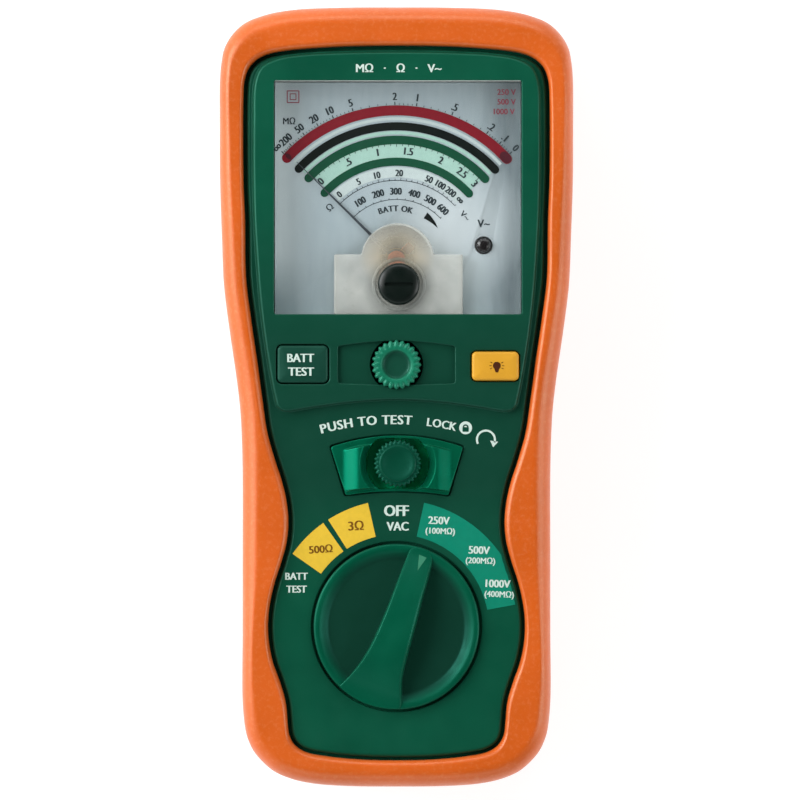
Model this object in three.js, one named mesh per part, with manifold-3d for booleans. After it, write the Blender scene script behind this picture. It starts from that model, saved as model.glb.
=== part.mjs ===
// Handheld analogue insulation resistance tester, millimetres, +Z up.
// The tester lies on its back: +Z out of the face, +Y towards the jack end, +X to the right.
// Origin: centre of the back face.
import * as THREE from 'three';
import { mergeVertices } from 'three/addons/utils/BufferGeometryUtils.js';
import Module from 'manifold-3d';

const wasm = await Module();
wasm.setup();

// ---------------------------------------------------------------- driving dimensions
const GAP = 0.3;                 // working gap between neighbouring pieces
const ROUND_GAP = 0.4;           // radial gap round the small knobs and the test well

// heights
const Z_CROWN = 44.5;            // top of the holster lip
const Z_HOLSTER_FLOOR = 5.2;     // inside floor of the holster
const Z_HOLSTER_CEIL = 40.0;     // underside of the holster lip
const Z_CASE_BACK = 5.5;         // back of the rear case
const Z_CASE_INNER = 7.5;        // inside floor of the rear case
const Z_PART = 23.0;             // parting line, top of the rear case
const Z_LEDGE = 39.7;            // ledge of the front case under the holster lip
const Z_FACE = 42.5;             // lower face
const Z_PLATEAU = 44.2;          // raised meter plateau
const Z_BOARD = 23.7;            // underside of the main board
const Z_BOARD_TOP = Z_BOARD + 1.6;
const Z_ON_BOARD = Z_BOARD_TOP + GAP;
const Z_ABOVE = 51;              // above everything: where cutters through the face end

// walls, and how far each outline lies inside the holster's
const HOLSTER_WALL = 3.0;
const CASE_WALL = 2.2;
const CASE_INSET = HOLSTER_WALL + GAP;
const CASE_INNER_INSET = CASE_INSET + CASE_WALL;

// outline of the holster: [y, half width]
const OUTER = [
  [100.0, 0], [99.95, 12.5], [99.5, 24.9], [98.7, 30.9], [97.9, 34.1], [96.4, 38.1],
  [94.8, 40.4], [92.5, 42.5], [89.4, 44.2], [86.0, 44.9], [81.7, 45.3], [68.0, 45.35],
  [55.9, 45.3], [40.5, 44.8], [30.2, 44.4], [25.0, 43.9], [14.7, 42.5], [4.4, 41.0],
  [-3.5, 40.1], [-11.1, 39.7], [-20.0, 39.5], [-40.0, 39.5], [-60.0, 39.5], [-78.1, 39.5],
  [-85.8, 38.7], [-88.4, 37.9], [-91.0, 36.6], [-93.5, 34.5], [-96.1, 31.4], [-98.0, 27.0],
  [-99.2, 21.5], [-99.85, 13.0], [-100.0, 0],
];
// edge of the holster lip around the face: [y, half width]
const INNER = [
  [90.0, 0], [89.85, 12.0], [89.4, 20.5], [88.7, 28.3], [87.9, 32.6], [86.6, 35.5],
  [84.4, 37.7], [81.0, 38.9], [76.5, 39.2], [55.9, 39.2], [45.6, 38.8], [30.2, 38.5],
  [19.8, 37.2], [9.5, 35.7], [-0.8, 34.3], [-9.0, 33.1], [-16.2, 31.1], [-21.4, 29.4],
  [-26.5, 28.2], [-31.7, 27.7], [-36.9, 28.1], [-42.0, 29.4], [-47.2, 31.1], [-52.3, 32.3],
  [-57.5, 32.9], [-62.6, 32.7], [-67.8, 31.7], [-72.9, 29.9], [-78.1, 28.4], [-83.2, 27.9],
  [-86.5, 27.5], [-89.0, 26.2], [-90.9, 23.4], [-92.1, 17.5], [-92.9, 9.0], [-93.1, 0],
];
// raised plateau that carries the meter and the upper keys: [y, half width]
const PLATEAU = [
  [88.3, 0], [88.1, 14.0], [87.5, 25.0], [86.4, 31.0], [84.4, 34.6], [80.5, 36.3],
  [70.0, 36.7], [56.0, 36.7], [45.0, 36.4], [35.0, 35.8], [25.0, 35.0], [15.0, 33.8],
  [5.0, 32.2], [0.5, 31.3], [-2.6, 30.4],
  [-3.6, 28.8], [-2.6, 21.0], [-1.4, 12.0], [-0.7, 0],
];

// meter
const WINDOW = { x: 0.35, halfWidth: 31.65, y0: 21.2, y1: 81.0 };
const HOUSING = { halfWidth: 33.3, y0: 19.7, y1: 82.5, z0: 25.6, z1: 40.9, wall: 1.3 };
const Z_PANE = 41.2;
const Z_PANE_TOP = Z_PANE + 1.6;
const DIAL = { halfWidth: 31.6, y0: 21.3, y1: 80.9, z: 35.0, thickness: 0.8 };
const PIVOT = [0, 35.2];
const NEEDLE_REST = 45.5;        // degrees counter-clockwise from +Y
const ZERO_SCREW = { at: [0.6, 28.9], radius: 5.4, pinOffset: 1.6 };
const LAMP = { at: [22.4, 39.0], radius: 2.0 };
const BACKLIGHT_OFFSET = [-22, 30];   // from the pivot

// controls
const ADJUSTER = { at: [0, 8.25], radius: 6.35 };
const KEYS = [
  { name: 'battery_check_button', switchName: 'key_switch_left', at: [-24.0, 8.4],
    size: [13.0, 9.6], radius: 1.3, top: 44.7, material: 'case_dark' },
  { name: 'backlight_button', switchName: 'key_switch_right', at: [25.3, 7.9],
    size: [12.0, 7.4], radius: 1.2, top: 45.4, material: 'yellow_key' },
];
const TEST = { at: [0.3, -17.0], radius: 6.1, wellRadius: 8.2, shellRadius: 9.0 };
const KNOB = { at: [0, -58.8], radius: 21.2, grooveRadius: 21.8, top: 50.0 };
const KNOB_REST = -22.5;         // degrees, pointer turned clockwise from +Y

// screws: [x, y] of the case bosses, and the holes for head and shank
const BOSSES = [[-24, -89.5], [24, -89.5], [-32.5, 86.2], [32.5, 86.2]];
const HEAD_HOLE_R = 2.6;
const SHANK_HOLE_R = 1.5;

// battery door: plate and the tongue that takes its screw
const DOOR = { halfWidth: 29.5, y0: -83.0, y1: 22.3 };
const TONGUE = { halfWidth: 6, y0: 22.0, y1: 30 };
const DOOR_SCREW = [0, 26.5];

// batteries
const CELL = { radius: 7.1, length: 50.2, pitch: 14.9, z: 15.2, y0: -82.6, endGap: 0.5 };
const TRAY = { halfWidth: 31.3, y0: -84.8, y1: 22.3, z0: 7.8, z1: 23.4, wall: 1.0, roof: 0.7 };

// jacks
const JACK = { pitch: 14.0, z: 15.0, bore: 4.3 };
const BLOCK = { halfWidth: 23.0, y0: 74.5, y1: 97.5, z0: 9.0, z1: 21.0 };
const JACK_OPENING_Y = 90;       // both openings for the block start here

// tilt stand
const STAND = { halfWidth: 20.0, y0: -60.0, z0: 0.4, z1: 3.2 };
const HINGE = [30.0, 2.2];       // [y, z]
const HINGE_BORE_R = 1.25;
const PIN_HALF_LENGTH = 24;

// ---------------------------------------------------------------- helpers
const radians = (degrees) => degrees * Math.PI / 180;
const toVectors = (points) => points.map(([x, y]) => new THREE.Vector2(x, y));
const polar = (radius, angle, x = 0, y = 0) => (
  [x + radius * Math.cos(angle), y + radius * Math.sin(angle)]);

// closed geometry -> solid, turned right side out
function toSolid(geometry) {
  geometry.deleteAttribute('normal');
  geometry.deleteAttribute('uv');
  const merged = mergeVertices(geometry, 1e-4);
  const positions = merged.attributes.position.array;
  const index = merged.index.array;
  const corner = (i) => new THREE.Vector3().fromArray(positions, 3 * i);
  const triangles = [];
  let volume = 0;
  for (let i = 0; i < index.length; i += 3) {
    const [a, b, c] = index.slice(i, i + 3);
    if (a === b || b === c || c === a) continue;
    triangles.push(a, b, c);
    volume += corner(a).dot(corner(b).cross(corner(c)));
  }
  if (volume < 0) triangles.reverse();
  return new wasm.Manifold(new wasm.Mesh({
    numProp: 3,
    vertProperties: new Float32Array(positions),
    triVerts: new Uint32Array(triangles),
  }));
}

function toGeometry(body) {
  const { vertProperties, triVerts } = body.getMesh();
  const geometry = new THREE.BufferGeometry();
  geometry.setAttribute('position', new THREE.BufferAttribute(new Float32Array(vertProperties), 3));
  geometry.setIndex(new THREE.BufferAttribute(new Uint32Array(triVerts), 1));
  geometry.computeVertexNormals();
  return geometry;
}

const join = (first, ...rest) => rest.reduce((a, b) => a.add(b), first);
const cut = (first, ...rest) => rest.reduce((a, b) => a.subtract(b), first);

function extrude(points, depth, placement) {
  const shape = new THREE.Shape(toVectors(points));
  const geometry = new THREE.ExtrudeGeometry(shape, { depth, bevelEnabled: false, steps: 1 });
  return toSolid(geometry.applyMatrix4(placement));
}
// prism along Z from plan points [x, y]
const prism = (points, z0, z1) => (
  extrude(points, z1 - z0, new THREE.Matrix4().makeTranslation(0, 0, z0)));
// prism along Y from section points [x, z]
const prismY = (points, y0, y1) => extrude(points, y1 - y0,
  new THREE.Matrix4().set(1, 0, 0, 0, 0, 0, -1, y1, 0, 1, 0, 0, 0, 0, 0, 1));
// prism along X from section points [y, z]
const prismX = (points, x0, x1) => extrude(points, x1 - x0,
  new THREE.Matrix4().set(0, 0, 1, x0, 1, 0, 0, 0, 0, 1, 0, 0, 0, 0, 0, 1));

const box = (x0, y0, z0, x1, y1, z1) => prism([[x0, y0], [x1, y0], [x1, y1], [x0, y1]], z0, z1);
// box centred on the Z axis
const slab = (halfX, halfY, z0, z1) => box(-halfX, -halfY, z0, halfX, halfY, z1);

const circle = (radius, x = 0, y = 0, segments = 32) => (
  Array.from({ length: segments }, (_, i) => polar(radius, 2 * Math.PI * i / segments, x, y)));
const rodZ = (radius, z0, z1, x = 0, y = 0, segments = 32) => (
  prism(circle(radius, x, y, segments), z0, z1));
const rodY = (radius, y0, y1, x, z, segments = 24) => (
  prismY(circle(radius, x, z, segments), y0, y1));
const rodX = (radius, x0, x1, y, z, segments = 24) => (
  prismX(circle(radius, y, z, segments), x0, x1));
// rod on the Z axis of its frame
const axle = (radius, z0, z1, segments = 32) => rodZ(radius, z0, z1, 0, 0, segments);

function roundRect([x, y], [width, height], radius, steps = 4) {
  const points = [];
  const corners = [[1, 1, 0], [-1, 1, 90], [-1, -1, 180], [1, -1, 270]];
  for (const [signX, signY, start] of corners) {
    const cornerX = x + signX * (width / 2 - radius);
    const cornerY = y + signY * (height / 2 - radius);
    for (let i = 0; i <= steps; i++) {
      points.push(polar(radius, radians(start + 90 * i / steps), cornerX, cornerY));
    }
  }
  return points;
}

// edge from x0 to x1 that bulges by rise at its middle
function bowedEdge(x0, x1, y, rise) {
  const steps = 6;
  return Array.from({ length: steps + 1 }, (_, i) => {
    const t = i / steps;
    return [x0 + (x1 - x0) * t, y + rise * 4 * t * (1 - t)];
  });
}

// knurled disc outline; each tooth spans four fractions of the pitch, two high and two low
function knurl(rootRadius, tipRadius, teeth, fractions = [0.0, 0.30, 0.5, 0.80]) {
  const radii = [tipRadius, tipRadius, rootRadius, rootRadius];
  return Array.from({ length: teeth }, (_, tooth) => fractions.map((fraction, i) => (
    polar(radii[i], 2 * Math.PI * (tooth + fraction) / teeth)))).flat();
}

// solid of revolution about Z, profile [r, z] from axis to axis
const lathe = (profile, segments) => (
  toSolid(new THREE.LatheGeometry(toVectors(profile), segments).rotateX(Math.PI / 2)));

// [y, half width] rows, top to bottom -> closed symmetric [x, y] outline
function mirrorRows(rows) {
  const right = rows.map(([y, halfWidth]) => [halfWidth, y]);
  const left = right.slice(1, -1).reverse().map(([x, y]) => [-x, y]);
  return [...right, ...left];
}
// smooth closed outline with its outward normals
function smoothOutline(rows) {
  const samples = 480;
  const knots = mirrorRows(rows).map(([x, y]) => new THREE.Vector3(x, y, 0));
  const curve = new THREE.CatmullRomCurve3(knots, true, 'centripetal');
  curve.arcLengthDivisions = 2000;
  const spaced = curve.getSpacedPoints(samples).slice(0, samples);
  const points = spaced.map(({ x, y }) => [x, y]).reverse();
  const normals = points.map((_, i) => {
    const before = points[(i + samples - 1) % samples];
    const after = points[(i + 1) % samples];
    const [tangentX, tangentY] = [after[0] - before[0], after[1] - before[1]];
    const length = Math.hypot(tangentX, tangentY);
    return [tangentY / length, -tangentX / length];
  });
  return { points, normals };
}
// indices of the points that keep the outline within the tolerance
function thin(points, tolerance) {
  const count = points.length;
  const half = Math.floor(count / 2);
  const between = (start, end) => {
    const [x0, y0] = points[start];
    const [x1, y1] = points[end % count];
    const length = Math.hypot(x1 - x0, y1 - y0);
    let farthest = -1;
    let distance = tolerance;
    for (let i = start + 1; i < end; i++) {
      const [x, y] = points[i];
      const offset = Math.abs((x1 - x0) * (y0 - y) - (x0 - x) * (y1 - y0)) / length;
      if (offset > distance) {
        distance = offset;
        farthest = i;
      }
    }
    if (farthest < 0) return [];
    return [...between(start, farthest), farthest, ...between(farthest, end)];
  };
  return [0, ...between(0, half), half, ...between(half, count)];
}
// thinned outline moved inwards
function ring({ points, normals }, inset, tolerance = 0.2) {
  return thin(points, tolerance).map((i) => (
    [points[i][0] - normals[i][0] * inset, points[i][1] - normals[i][1] * inset]));
}

// solid through stacked rings with the same number of points, [ring, z] from low to high
function loft(levels) {
  const count = levels[0][0].length;
  const positions = levels.flatMap(([points, z]) => points.flatMap(([x, y]) => [x, y, z]));
  const triangles = [];
  for (let level = 0; level + 1 < levels.length; level++) {
    for (let i = 0; i < count; i++) {
      const a = level * count + i;
      const b = level * count + (i + 1) % count;
      triangles.push(a, b, b + count, a, b + count, a + count);
    }
  }
  const cap = (level, up) => {
    const first = level * count;
    const faces = THREE.ShapeUtils.triangulateShape(toVectors(levels[level][0]), []);
    for (const [a, b, c] of faces) {
      triangles.push(first + a, first + (up ? b : c), first + (up ? c : b));
    }
  };
  cap(0, false);
  cap(levels.length - 1, true);
  const geometry = new THREE.BufferGeometry();
  geometry.setAttribute('position', new THREE.BufferAttribute(new Float32Array(positions), 3));
  geometry.setIndex(triangles);
  return toSolid(geometry);
}

// ---------------------------------------------------------------- group and materials
const group = new THREE.Group();
group.name = 'insulation_tester';

// [colour, roughness, metalness]
const MATERIALS = {
  holster_rubber: [0xdc6529, 0.55, 0],
  case_green: [0x0f543c, 0.45, 0],
  case_dark: [0x14382c, 0.5, 0],
  bright_green: [0x20896a, 0.35, 0],
  knob_green: [0x0f573f, 0.4, 0],
  yellow_key: [0xe8a733, 0.4, 0],
  black_plastic: [0x1a1c1b, 0.5, 0],
  clear: [0xdfe6e6, 0.05, 0],
  milky: [0xc9cdc6, 0.3, 0],
  dial: [0xa9b4b8, 0.45, 0.1],
  white_plastic: [0xd5d8d4, 0.5, 0],
  steel: [0xb5b8ba, 0.3, 1],
  brass: [0xb9974b, 0.35, 1],
  copper: [0xa85a32, 0.35, 1],
  board: [0x1c6a3a, 0.5, 0],
  cell: [0x2c2f36, 0.35, 0.2],
  needle_black: [0x101010, 0.4, 0],
  ferrite: [0x2e2d2f, 0.6, 0.2],
};
function addPiece(name, body, material, parent = group) {
  const [color, roughness, metalness] = MATERIALS[material];
  const look = new THREE.MeshStandardMaterial({ color, roughness, metalness });
  const piece = new THREE.Mesh(toGeometry(body), look);
  piece.name = name;
  parent.add(piece);
  return piece;
}
function addFrame(parent, [x, y], z = 0, degrees = 0) {
  const frame = new THREE.Group();
  frame.position.set(x, y, z);
  frame.rotation.z = radians(degrees);
  parent.add(frame);
  return frame;
}

const outer = smoothOutline(OUTER);
const inner = smoothOutline(INNER);
const outerPrism = (inset, z0, z1) => prism(ring(outer, inset), z0, z1);
const innerPrism = (inset, z0, z1) => prism(ring(inner, inset), z0, z1);

// ---------------------------------------------------------------- holster and tilt stand
// outside of the holster: [inset, z]
const HOLSTER_PROFILE = [
  [4.2, 0], [1.9, 0.75], [0.55, 2.6], [0, 5.0],
  [0, 38.4], [0.5, 40.8], [1.6, 43.0], [3.1, 44.2], [4.4, Z_CROWN],
];
function holster() {
  const level = (inset) => ring(outer, inset, 0.16);
  const seatHalf = STAND.halfWidth + GAP;
  const slotHalf = BLOCK.halfWidth + 2;
  const pinHalf = PIN_HALF_LENGTH + GAP;
  return cut(
    loft(HOLSTER_PROFILE.map(([inset, z]) => [level(inset), z])),
    prism(level(HOLSTER_WALL), Z_HOLSTER_FLOOR, Z_HOLSTER_CEIL),
    innerPrism(0, Z_HOLSTER_CEIL - 1, Z_ABOVE),
    // jack slot, stand seat, finger notch, pin hole
    box(-slotHalf, JACK_OPENING_Y, BLOCK.z0 - 1, slotHalf, 103, BLOCK.z1 + 1),
    box(-seatHalf, STAND.y0 - GAP, -1, seatHalf, HINGE[0] + 2.2, 4.0),
    rodZ(9, -1, 3.0, 0, STAND.y0 + 0.5, 24),
    rodX(HINGE_BORE_R, -pinHalf, pinHalf, ...HINGE, 16),
  );
}
// folded flat in the back of the holster
function tiltStand() {
  const { halfWidth, y0, z0, z1 } = STAND;
  return cut(
    join(box(-halfWidth, y0, z0, halfWidth, HINGE[0], z1),
      rodX(1.6, -halfWidth, halfWidth, ...HINGE, 16)),
    prism(roundRect([0, -13], [24, 58], 4, 3), -1, 5),
    rodX(HINGE_BORE_R, -halfWidth - 1, halfWidth + 1, ...HINGE, 16),
  );
}
addPiece('holster', holster(), 'holster_rubber');
addPiece('tilt_stand', tiltStand(), 'black_plastic');
addPiece('stand_pin', rodX(1.0, -PIN_HALF_LENGTH, PIN_HALF_LENGTH, ...HINGE, 12), 'steel');

// ---------------------------------------------------------------- rear case
const atBosses = (radius, z0, z1, segments) => (
  BOSSES.map((spot) => rodZ(radius, z0, z1, ...spot, segments)));

function rearCase() {
  const shell = cut(outerPrism(CASE_INSET, Z_CASE_BACK, Z_PART),
    outerPrism(CASE_INNER_INSET, Z_CASE_INNER, Z_PART + 1));
  const body = join(shell,
    ...atBosses(3.3, Z_CASE_INNER - 0.5, Z_PART - 0.1, 20),
    box(-9, 22.9, Z_CASE_INNER - 0.5, 9, 32, 12));
  const doorHalf = DOOR.halfWidth + GAP;
  const tongueHalf = TONGUE.halfWidth + GAP;
  const blockHalf = BLOCK.halfWidth + GAP;
  return cut(body,
    ...atBosses(HEAD_HOLE_R, Z_CASE_BACK - 1, 13.5, 20),
    ...atBosses(SHANK_HOLE_R, 13, Z_PART + 1, 16),
    // door opening, tongue recess and its screw hole, opening for the terminal block
    box(-doorHalf, DOOR.y0 - GAP, 5, doorHalf, DOOR.y1 + GAP, 8),
    box(-tongueHalf, 22, 5, tongueHalf, TONGUE.y1 + GAP, Z_CASE_INNER + GAP),
    rodZ(SHANK_HOLE_R, 7, 13, ...DOOR_SCREW, 16),
    box(-blockHalf, JACK_OPENING_Y, BLOCK.z0 - GAP, blockHalf, 99, BLOCK.z1 + GAP));
}
function batteryDoor() {
  const panel = ({ halfWidth, y0, y1 }) => (
    box(-halfWidth, y0, Z_CASE_BACK, halfWidth, y1, Z_CASE_INNER));
  return cut(join(panel(DOOR), panel(TONGUE)),
    rodZ(HEAD_HOLE_R, 5, 6.9, ...DOOR_SCREW, 20),
    rodZ(SHANK_HOLE_R, 5, 8, ...DOOR_SCREW, 16));
}
// cross-slotted screw, head on z = 0 and tip towards +Z
function crossScrew({ head, shank, tip, slotHalf, slotDepth }) {
  const headR = 2.2;
  const shankR = 1.2;
  const profile = [[0, 0], [headR, 0], [headR, head], [shankR, head], [shankR, shank], [0, tip]];
  return cut(lathe(profile, 14),
    slab(slotHalf, 0.3, -1, slotDepth), slab(0.3, slotHalf, -1, slotDepth));
}
addPiece('rear_case', rearCase(), 'case_green');
addPiece('battery_door', batteryDoor(), 'case_green');
const doorScrew = crossScrew({ head: 1.0, shank: 5.6, tip: 5.8, slotHalf: 1.7, slotDepth: 0.5 });
addPiece('battery_door_screw', doorScrew, 'steel', addFrame(group, DOOR_SCREW, 5.7));
const caseScrew = crossScrew({ head: 1.7, shank: 17.0, tip: 17.6, slotHalf: 1.6, slotDepth: 0.7 });
BOSSES.forEach((spot, i) => {
  addPiece(`case_screw_${i + 1}`, caseScrew, 'steel', addFrame(group, spot, 11.5));
});

// ---------------------------------------------------------------- front case
// outline of the test knob surround, enlarged by grow
const bezelPlan = (grow) => [
  ...bowedEdge(17.1 + grow, -16.9 - grow, -12.8 + grow, 2.9),
  ...bowedEdge(-13.0 - grow, 13.3 + grow, -25.2 - grow, 1.1),
];
const bezelPrism = (grow, z0, z1) => prism(bezelPlan(grow), z0, z1);
// shallow recess round the zero adjuster
const ADJUSTER_RECESS = [...bowedEdge(15.0, -15.0, 13.0, 1.3), ...bowedEdge(-15.0, 15.0, 3.5, -0.4)];

function frontCase() {
  const body = cut(
    join(outerPrism(CASE_INSET, Z_PART + GAP, Z_LEDGE),
      innerPrism(0.9, Z_LEDGE - 1, Z_FACE),
      prism(mirrorRows(PLATEAU).reverse(), Z_FACE - 1, Z_PLATEAU)),
    outerPrism(CASE_INNER_INSET, Z_PART, 37.5),
    innerPrism(3.2, 37, 40.3));
  const meterHalf = HOUSING.halfWidth + GAP;
  const { x, halfWidth } = WINDOW;
  const zCut = 39;               // openings for the controls start below the face skin
  const keyHoles = KEYS.map(({ at, size, radius }) => (
    prism(roundRect(at, size.map((side) => side + 2 * GAP), radius + GAP), zCut, Z_ABOVE)));
  return cut(join(body, ...atBosses(3.0, Z_PART + GAP, 38.5, 20)),
    ...atBosses(SHANK_HOLE_R, Z_PART, 32, 16),
    box(x - meterHalf, HOUSING.y0 - GAP, 37, x + meterHalf, HOUSING.y1 + GAP, Z_PANE_TOP + GAP),
    box(x - halfWidth, WINDOW.y0, 42, x + halfWidth, WINDOW.y1, Z_ABOVE),
    prism(ADJUSTER_RECESS, 43.2, Z_ABOVE),
    rodZ(ADJUSTER.radius + ROUND_GAP, zCut, Z_ABOVE, ...ADJUSTER.at),
    ...keyHoles,
    bezelPrism(GAP, 41.2, Z_ABOVE),
    rodZ(TEST.shellRadius + ROUND_GAP, zCut, Z_ABOVE, ...TEST.at)
      .intersect(bezelPrism(GAP, zCut, Z_ABOVE)),
    rodZ(KNOB.grooveRadius, 41.3, Z_ABOVE, ...KNOB.at, 48),
    rodZ(3.4, zCut, Z_ABOVE, ...KNOB.at, 24));
}
addPiece('front_case', frontCase(), 'case_green');

// ---------------------------------------------------------------- meter window and housing
function meterWindow() {
  const [x, y] = ZERO_SCREW.at;
  return cut(
    box(-HOUSING.halfWidth, HOUSING.y0, Z_PANE, HOUSING.halfWidth, HOUSING.y1, Z_PANE_TOP),
    rodZ(ZERO_SCREW.radius + 0.35, 40, Z_ABOVE, x - WINDOW.x, y));
}
function meterHousing() {
  const { halfWidth, y0, y1, z0, z1, wall } = HOUSING;
  const innerHalf = halfWidth - wall;
  // posts under the dial corners: [x, y]
  const posts = [[-29.5, 23.5], [29.5, 23.5], [-29.5, 78.7], [29.5, 78.7]];
  const tub = cut(box(-halfWidth, y0, z0, halfWidth, y1, z1),
    box(-innerHalf, y0 + wall, z0 + wall, innerHalf, y1 - wall, z1 + 1));
  return join(tub, ...posts.map((spot) => rodZ(2.0, z0 + 1, DIAL.z - GAP, ...spot, 12)));
}
const meter = addFrame(group, [WINDOW.x, 0]);
addPiece('meter_window', meterWindow(), 'clear', meter);
addPiece('meter_housing', meterHousing(), 'white_plastic', meter);

// ---------------------------------------------------------------- meter movement
// everything here is placed from the pivot
const fromPivot = ([x, y]) => [x - PIVOT[0], y - PIVOT[1]];
const screwAt = fromPivot(ZERO_SCREW.at);
const lampAt = fromPivot(LAMP.at);
const YOKE_R = 9.0;
const SPINDLE_BORE_R = 0.8;      // through core and coil

// dial plate with the openings for the movement and the lamp
function dialPlate() {
  const { halfWidth, z, thickness } = DIAL;
  const [left, bottom] = fromPivot([WINDOW.x - halfWidth, DIAL.y0]);
  const [right, top] = fromPivot([WINDOW.x + halfWidth, DIAL.y1]);
  return cut(box(left, bottom, z, right, top, z + thickness),
    axle(YOKE_R, z - 1, z + 2),
    box(-12.5, 20 - PIVOT[1], z - 1, 13.5, 0, z + 2),
    rodZ(LAMP.radius + GAP, z - 1, z + 2, ...lampAt, 20));
}
// translucent cover: roof, three skirts, ring round the zero screw
function movementCover() {
  const [x0, x1, y0, y1] = [-16, 17, -14.0, 1.4];
  const skirt = 1;
  const [zSkirt, zSkirtTop, zRoof, zRoofTop] = [36.1, 39.5, 39.0, 40.0];
  return cut(
    join(box(x0, y0, zRoof, x1, y1, zRoofTop),
      rodZ(9.4, zRoof, zRoofTop, 0.3, 0, 36),
      box(x0, y0, zSkirt, x0 + skirt, y1, zSkirtTop),
      box(x1 - skirt, y0, zSkirt, x1, y1, zSkirtTop),
      box(x0, y0, zSkirt, x1, y0 + skirt, zSkirtTop),
      rodZ(6.9, 39.5, 40.6, ...screwAt)),
    rodZ(6.0, zRoofTop, Z_ABOVE, ...screwAt),
    rodZ(3.0, 38, Z_ABOVE, ...screwAt, 24));
}
// slotted head through the window, stem, eccentric pin
function zeroScrew() {
  return cut(
    join(axle(ZERO_SCREW.radius, 40.9, 43.4), axle(2.5, 38.0, 41.5, 20),
      rodZ(0.6, 34.6, 38.5, 0, -ZERO_SCREW.pinOffset, 12)),
    slab(4.2, 0.55, 42.3, Z_ABOVE));
}
// forked lever that carries the outer end of the hairspring
function zeroArm() {
  const [z0, z1] = [35.1, 35.7];
  return cut(
    join(axle(2.0, z0, z1, 20), box(-1.0, -6.3, z0, 1.0, 0, z1),
      box(-1.7, -9.0, z0, 1.7, -6.0, z1)),
    axle(0.9, 35, 36, 16),
    box(-0.95, -10, 35, 0.95, -6.9, 36));
}
const movementYoke = () => cut(axle(YOKE_R, 27.4, 33.2), axle(6.2, 27, 34));
const movementCore = () => cut(
  join(axle(4.3, 28.4, 32.8, 24), slab(1.5, 5.9, 30.0, 31.2)), axle(SPINDLE_BORE_R, 28, 33, 12));
const movingCoil = () => cut(
  slab(5.6, 1.2, 27.3, 33.9), slab(4.7, 3, 28.0, 33.2), axle(SPINDLE_BORE_R, 27, 34.5, 12));

// right edge of the needle's pointer: [half width, y], tail to tip
const POINTER_EDGE = [
  [0.55, -5.0], [0.7, 0], [0.62, 11.5], [0.42, 24.0], [0.17, 25.0], [0.12, 36.0],
];
function needle() {
  const leftEdge = POINTER_EDGE.map(([x, y]) => [-x, y]).reverse();
  const pointer = prism([...POINTER_EDGE, ...leftEdge], 36.4, 36.9);
  const [z0, z1] = [36.0, 37.3];
  // hub, pointer, round tail weight
  return cut(join(axle(1.5, z0, z1, 18), pointer, rodZ(1.0, z0, z1, 0, -4.5, 12)),
    axle(0.75, 35, 38, 12));
}
// flat spiral ribbon
function hairspring() {
  const spiral = { turns: 3, steps: 42, startRadius: 1.1, growth: 2.6, halfThickness: 0.09 };
  const edge = (offset) => Array.from({ length: spiral.steps + 1 }, (_, i) => {
    const radius = spiral.startRadius + spiral.growth * i / spiral.steps;
    return polar(radius + offset, 2 * Math.PI * spiral.turns * i / spiral.steps);
  });
  const { halfThickness } = spiral;
  return prism([...edge(halfThickness), ...edge(-halfThickness).reverse()], 34.2, 34.7);
}
// upper bearing bridge: strap on two legs
function bearingBridge() {
  const [outside, inside, halfY] = [8.3, 7.5, 1.4];
  return join(slab(outside, halfY, 38.0, 38.6),
    box(-outside, -halfY, 33.5, -inside, halfY, 38.3),
    box(inside, -halfY, 33.5, outside, halfY, 38.3));
}
// lamp: [r, z]
const LAMP_PROFILE = [
  [0, 27.2], [LAMP.radius, 27.2], [LAMP.radius, 36.0], [1.7, 36.7], [1.0, 37.1], [0, 37.2],
];

const movement = addFrame(group, PIVOT);
addPiece('dial_plate', dialPlate(), 'dial', movement);
addPiece('movement_cover', movementCover(), 'milky', movement);
addPiece('zero_screw', zeroScrew(), 'black_plastic', addFrame(movement, screwAt));
// the arm points from the pivot at the eccentric pin
const armTurn = Math.atan2(screwAt[0], ZERO_SCREW.pinOffset - screwAt[1]) * 180 / Math.PI;
addPiece('zero_arm', zeroArm(), 'brass', addFrame(movement, [0, 0], 0, armTurn));
addPiece('movement_yoke', movementYoke(), 'steel', movement);
addPiece('movement_core', movementCore(), 'ferrite', movement);
const moving = addFrame(movement, [0, 0], 0, NEEDLE_REST);
addPiece('moving_coil', movingCoil(), 'copper', moving);
addPiece('needle_spindle', axle(0.5, 27.2, 37.7, 10), 'steel', moving);
addPiece('needle', needle(), 'needle_black', moving);
addPiece('hairspring', hairspring(), 'brass', movement);
addPiece('bearing_bridge', bearingBridge(), 'brass', movement);
addPiece('live_lamp', lathe(LAMP_PROFILE, 20), 'black_plastic', addFrame(movement, lampAt));
addPiece('backlight_led', slab(2.5, 1.5, 27.2, 29.4), 'white_plastic',
  addFrame(movement, BACKLIGHT_OFFSET));

// ---------------------------------------------------------------- ohm-zero knob and pot
// knurled disc with a dished top, on a stem
function adjusterKnob() {
  const disc = prism(knurl(ADJUSTER.radius - 0.6, ADJUSTER.radius, 24), 41.2, 45.4);
  return cut(join(disc, axle(2.2, 30.0, 41.5, 16)), axle(3.9, 43.9, Z_ABOVE, 24));
}
const adjusterPot = () => cut(slab(5, 5, Z_ON_BOARD, 32.7), axle(2.5, 29.5, 34, 16));

const adjuster = addFrame(group, ADJUSTER.at);
addPiece('zero_adjust_knob', adjusterKnob(), 'bright_green', adjuster);
addPiece('zero_adjust_pot', adjusterPot(), 'black_plastic', adjuster);

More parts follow.
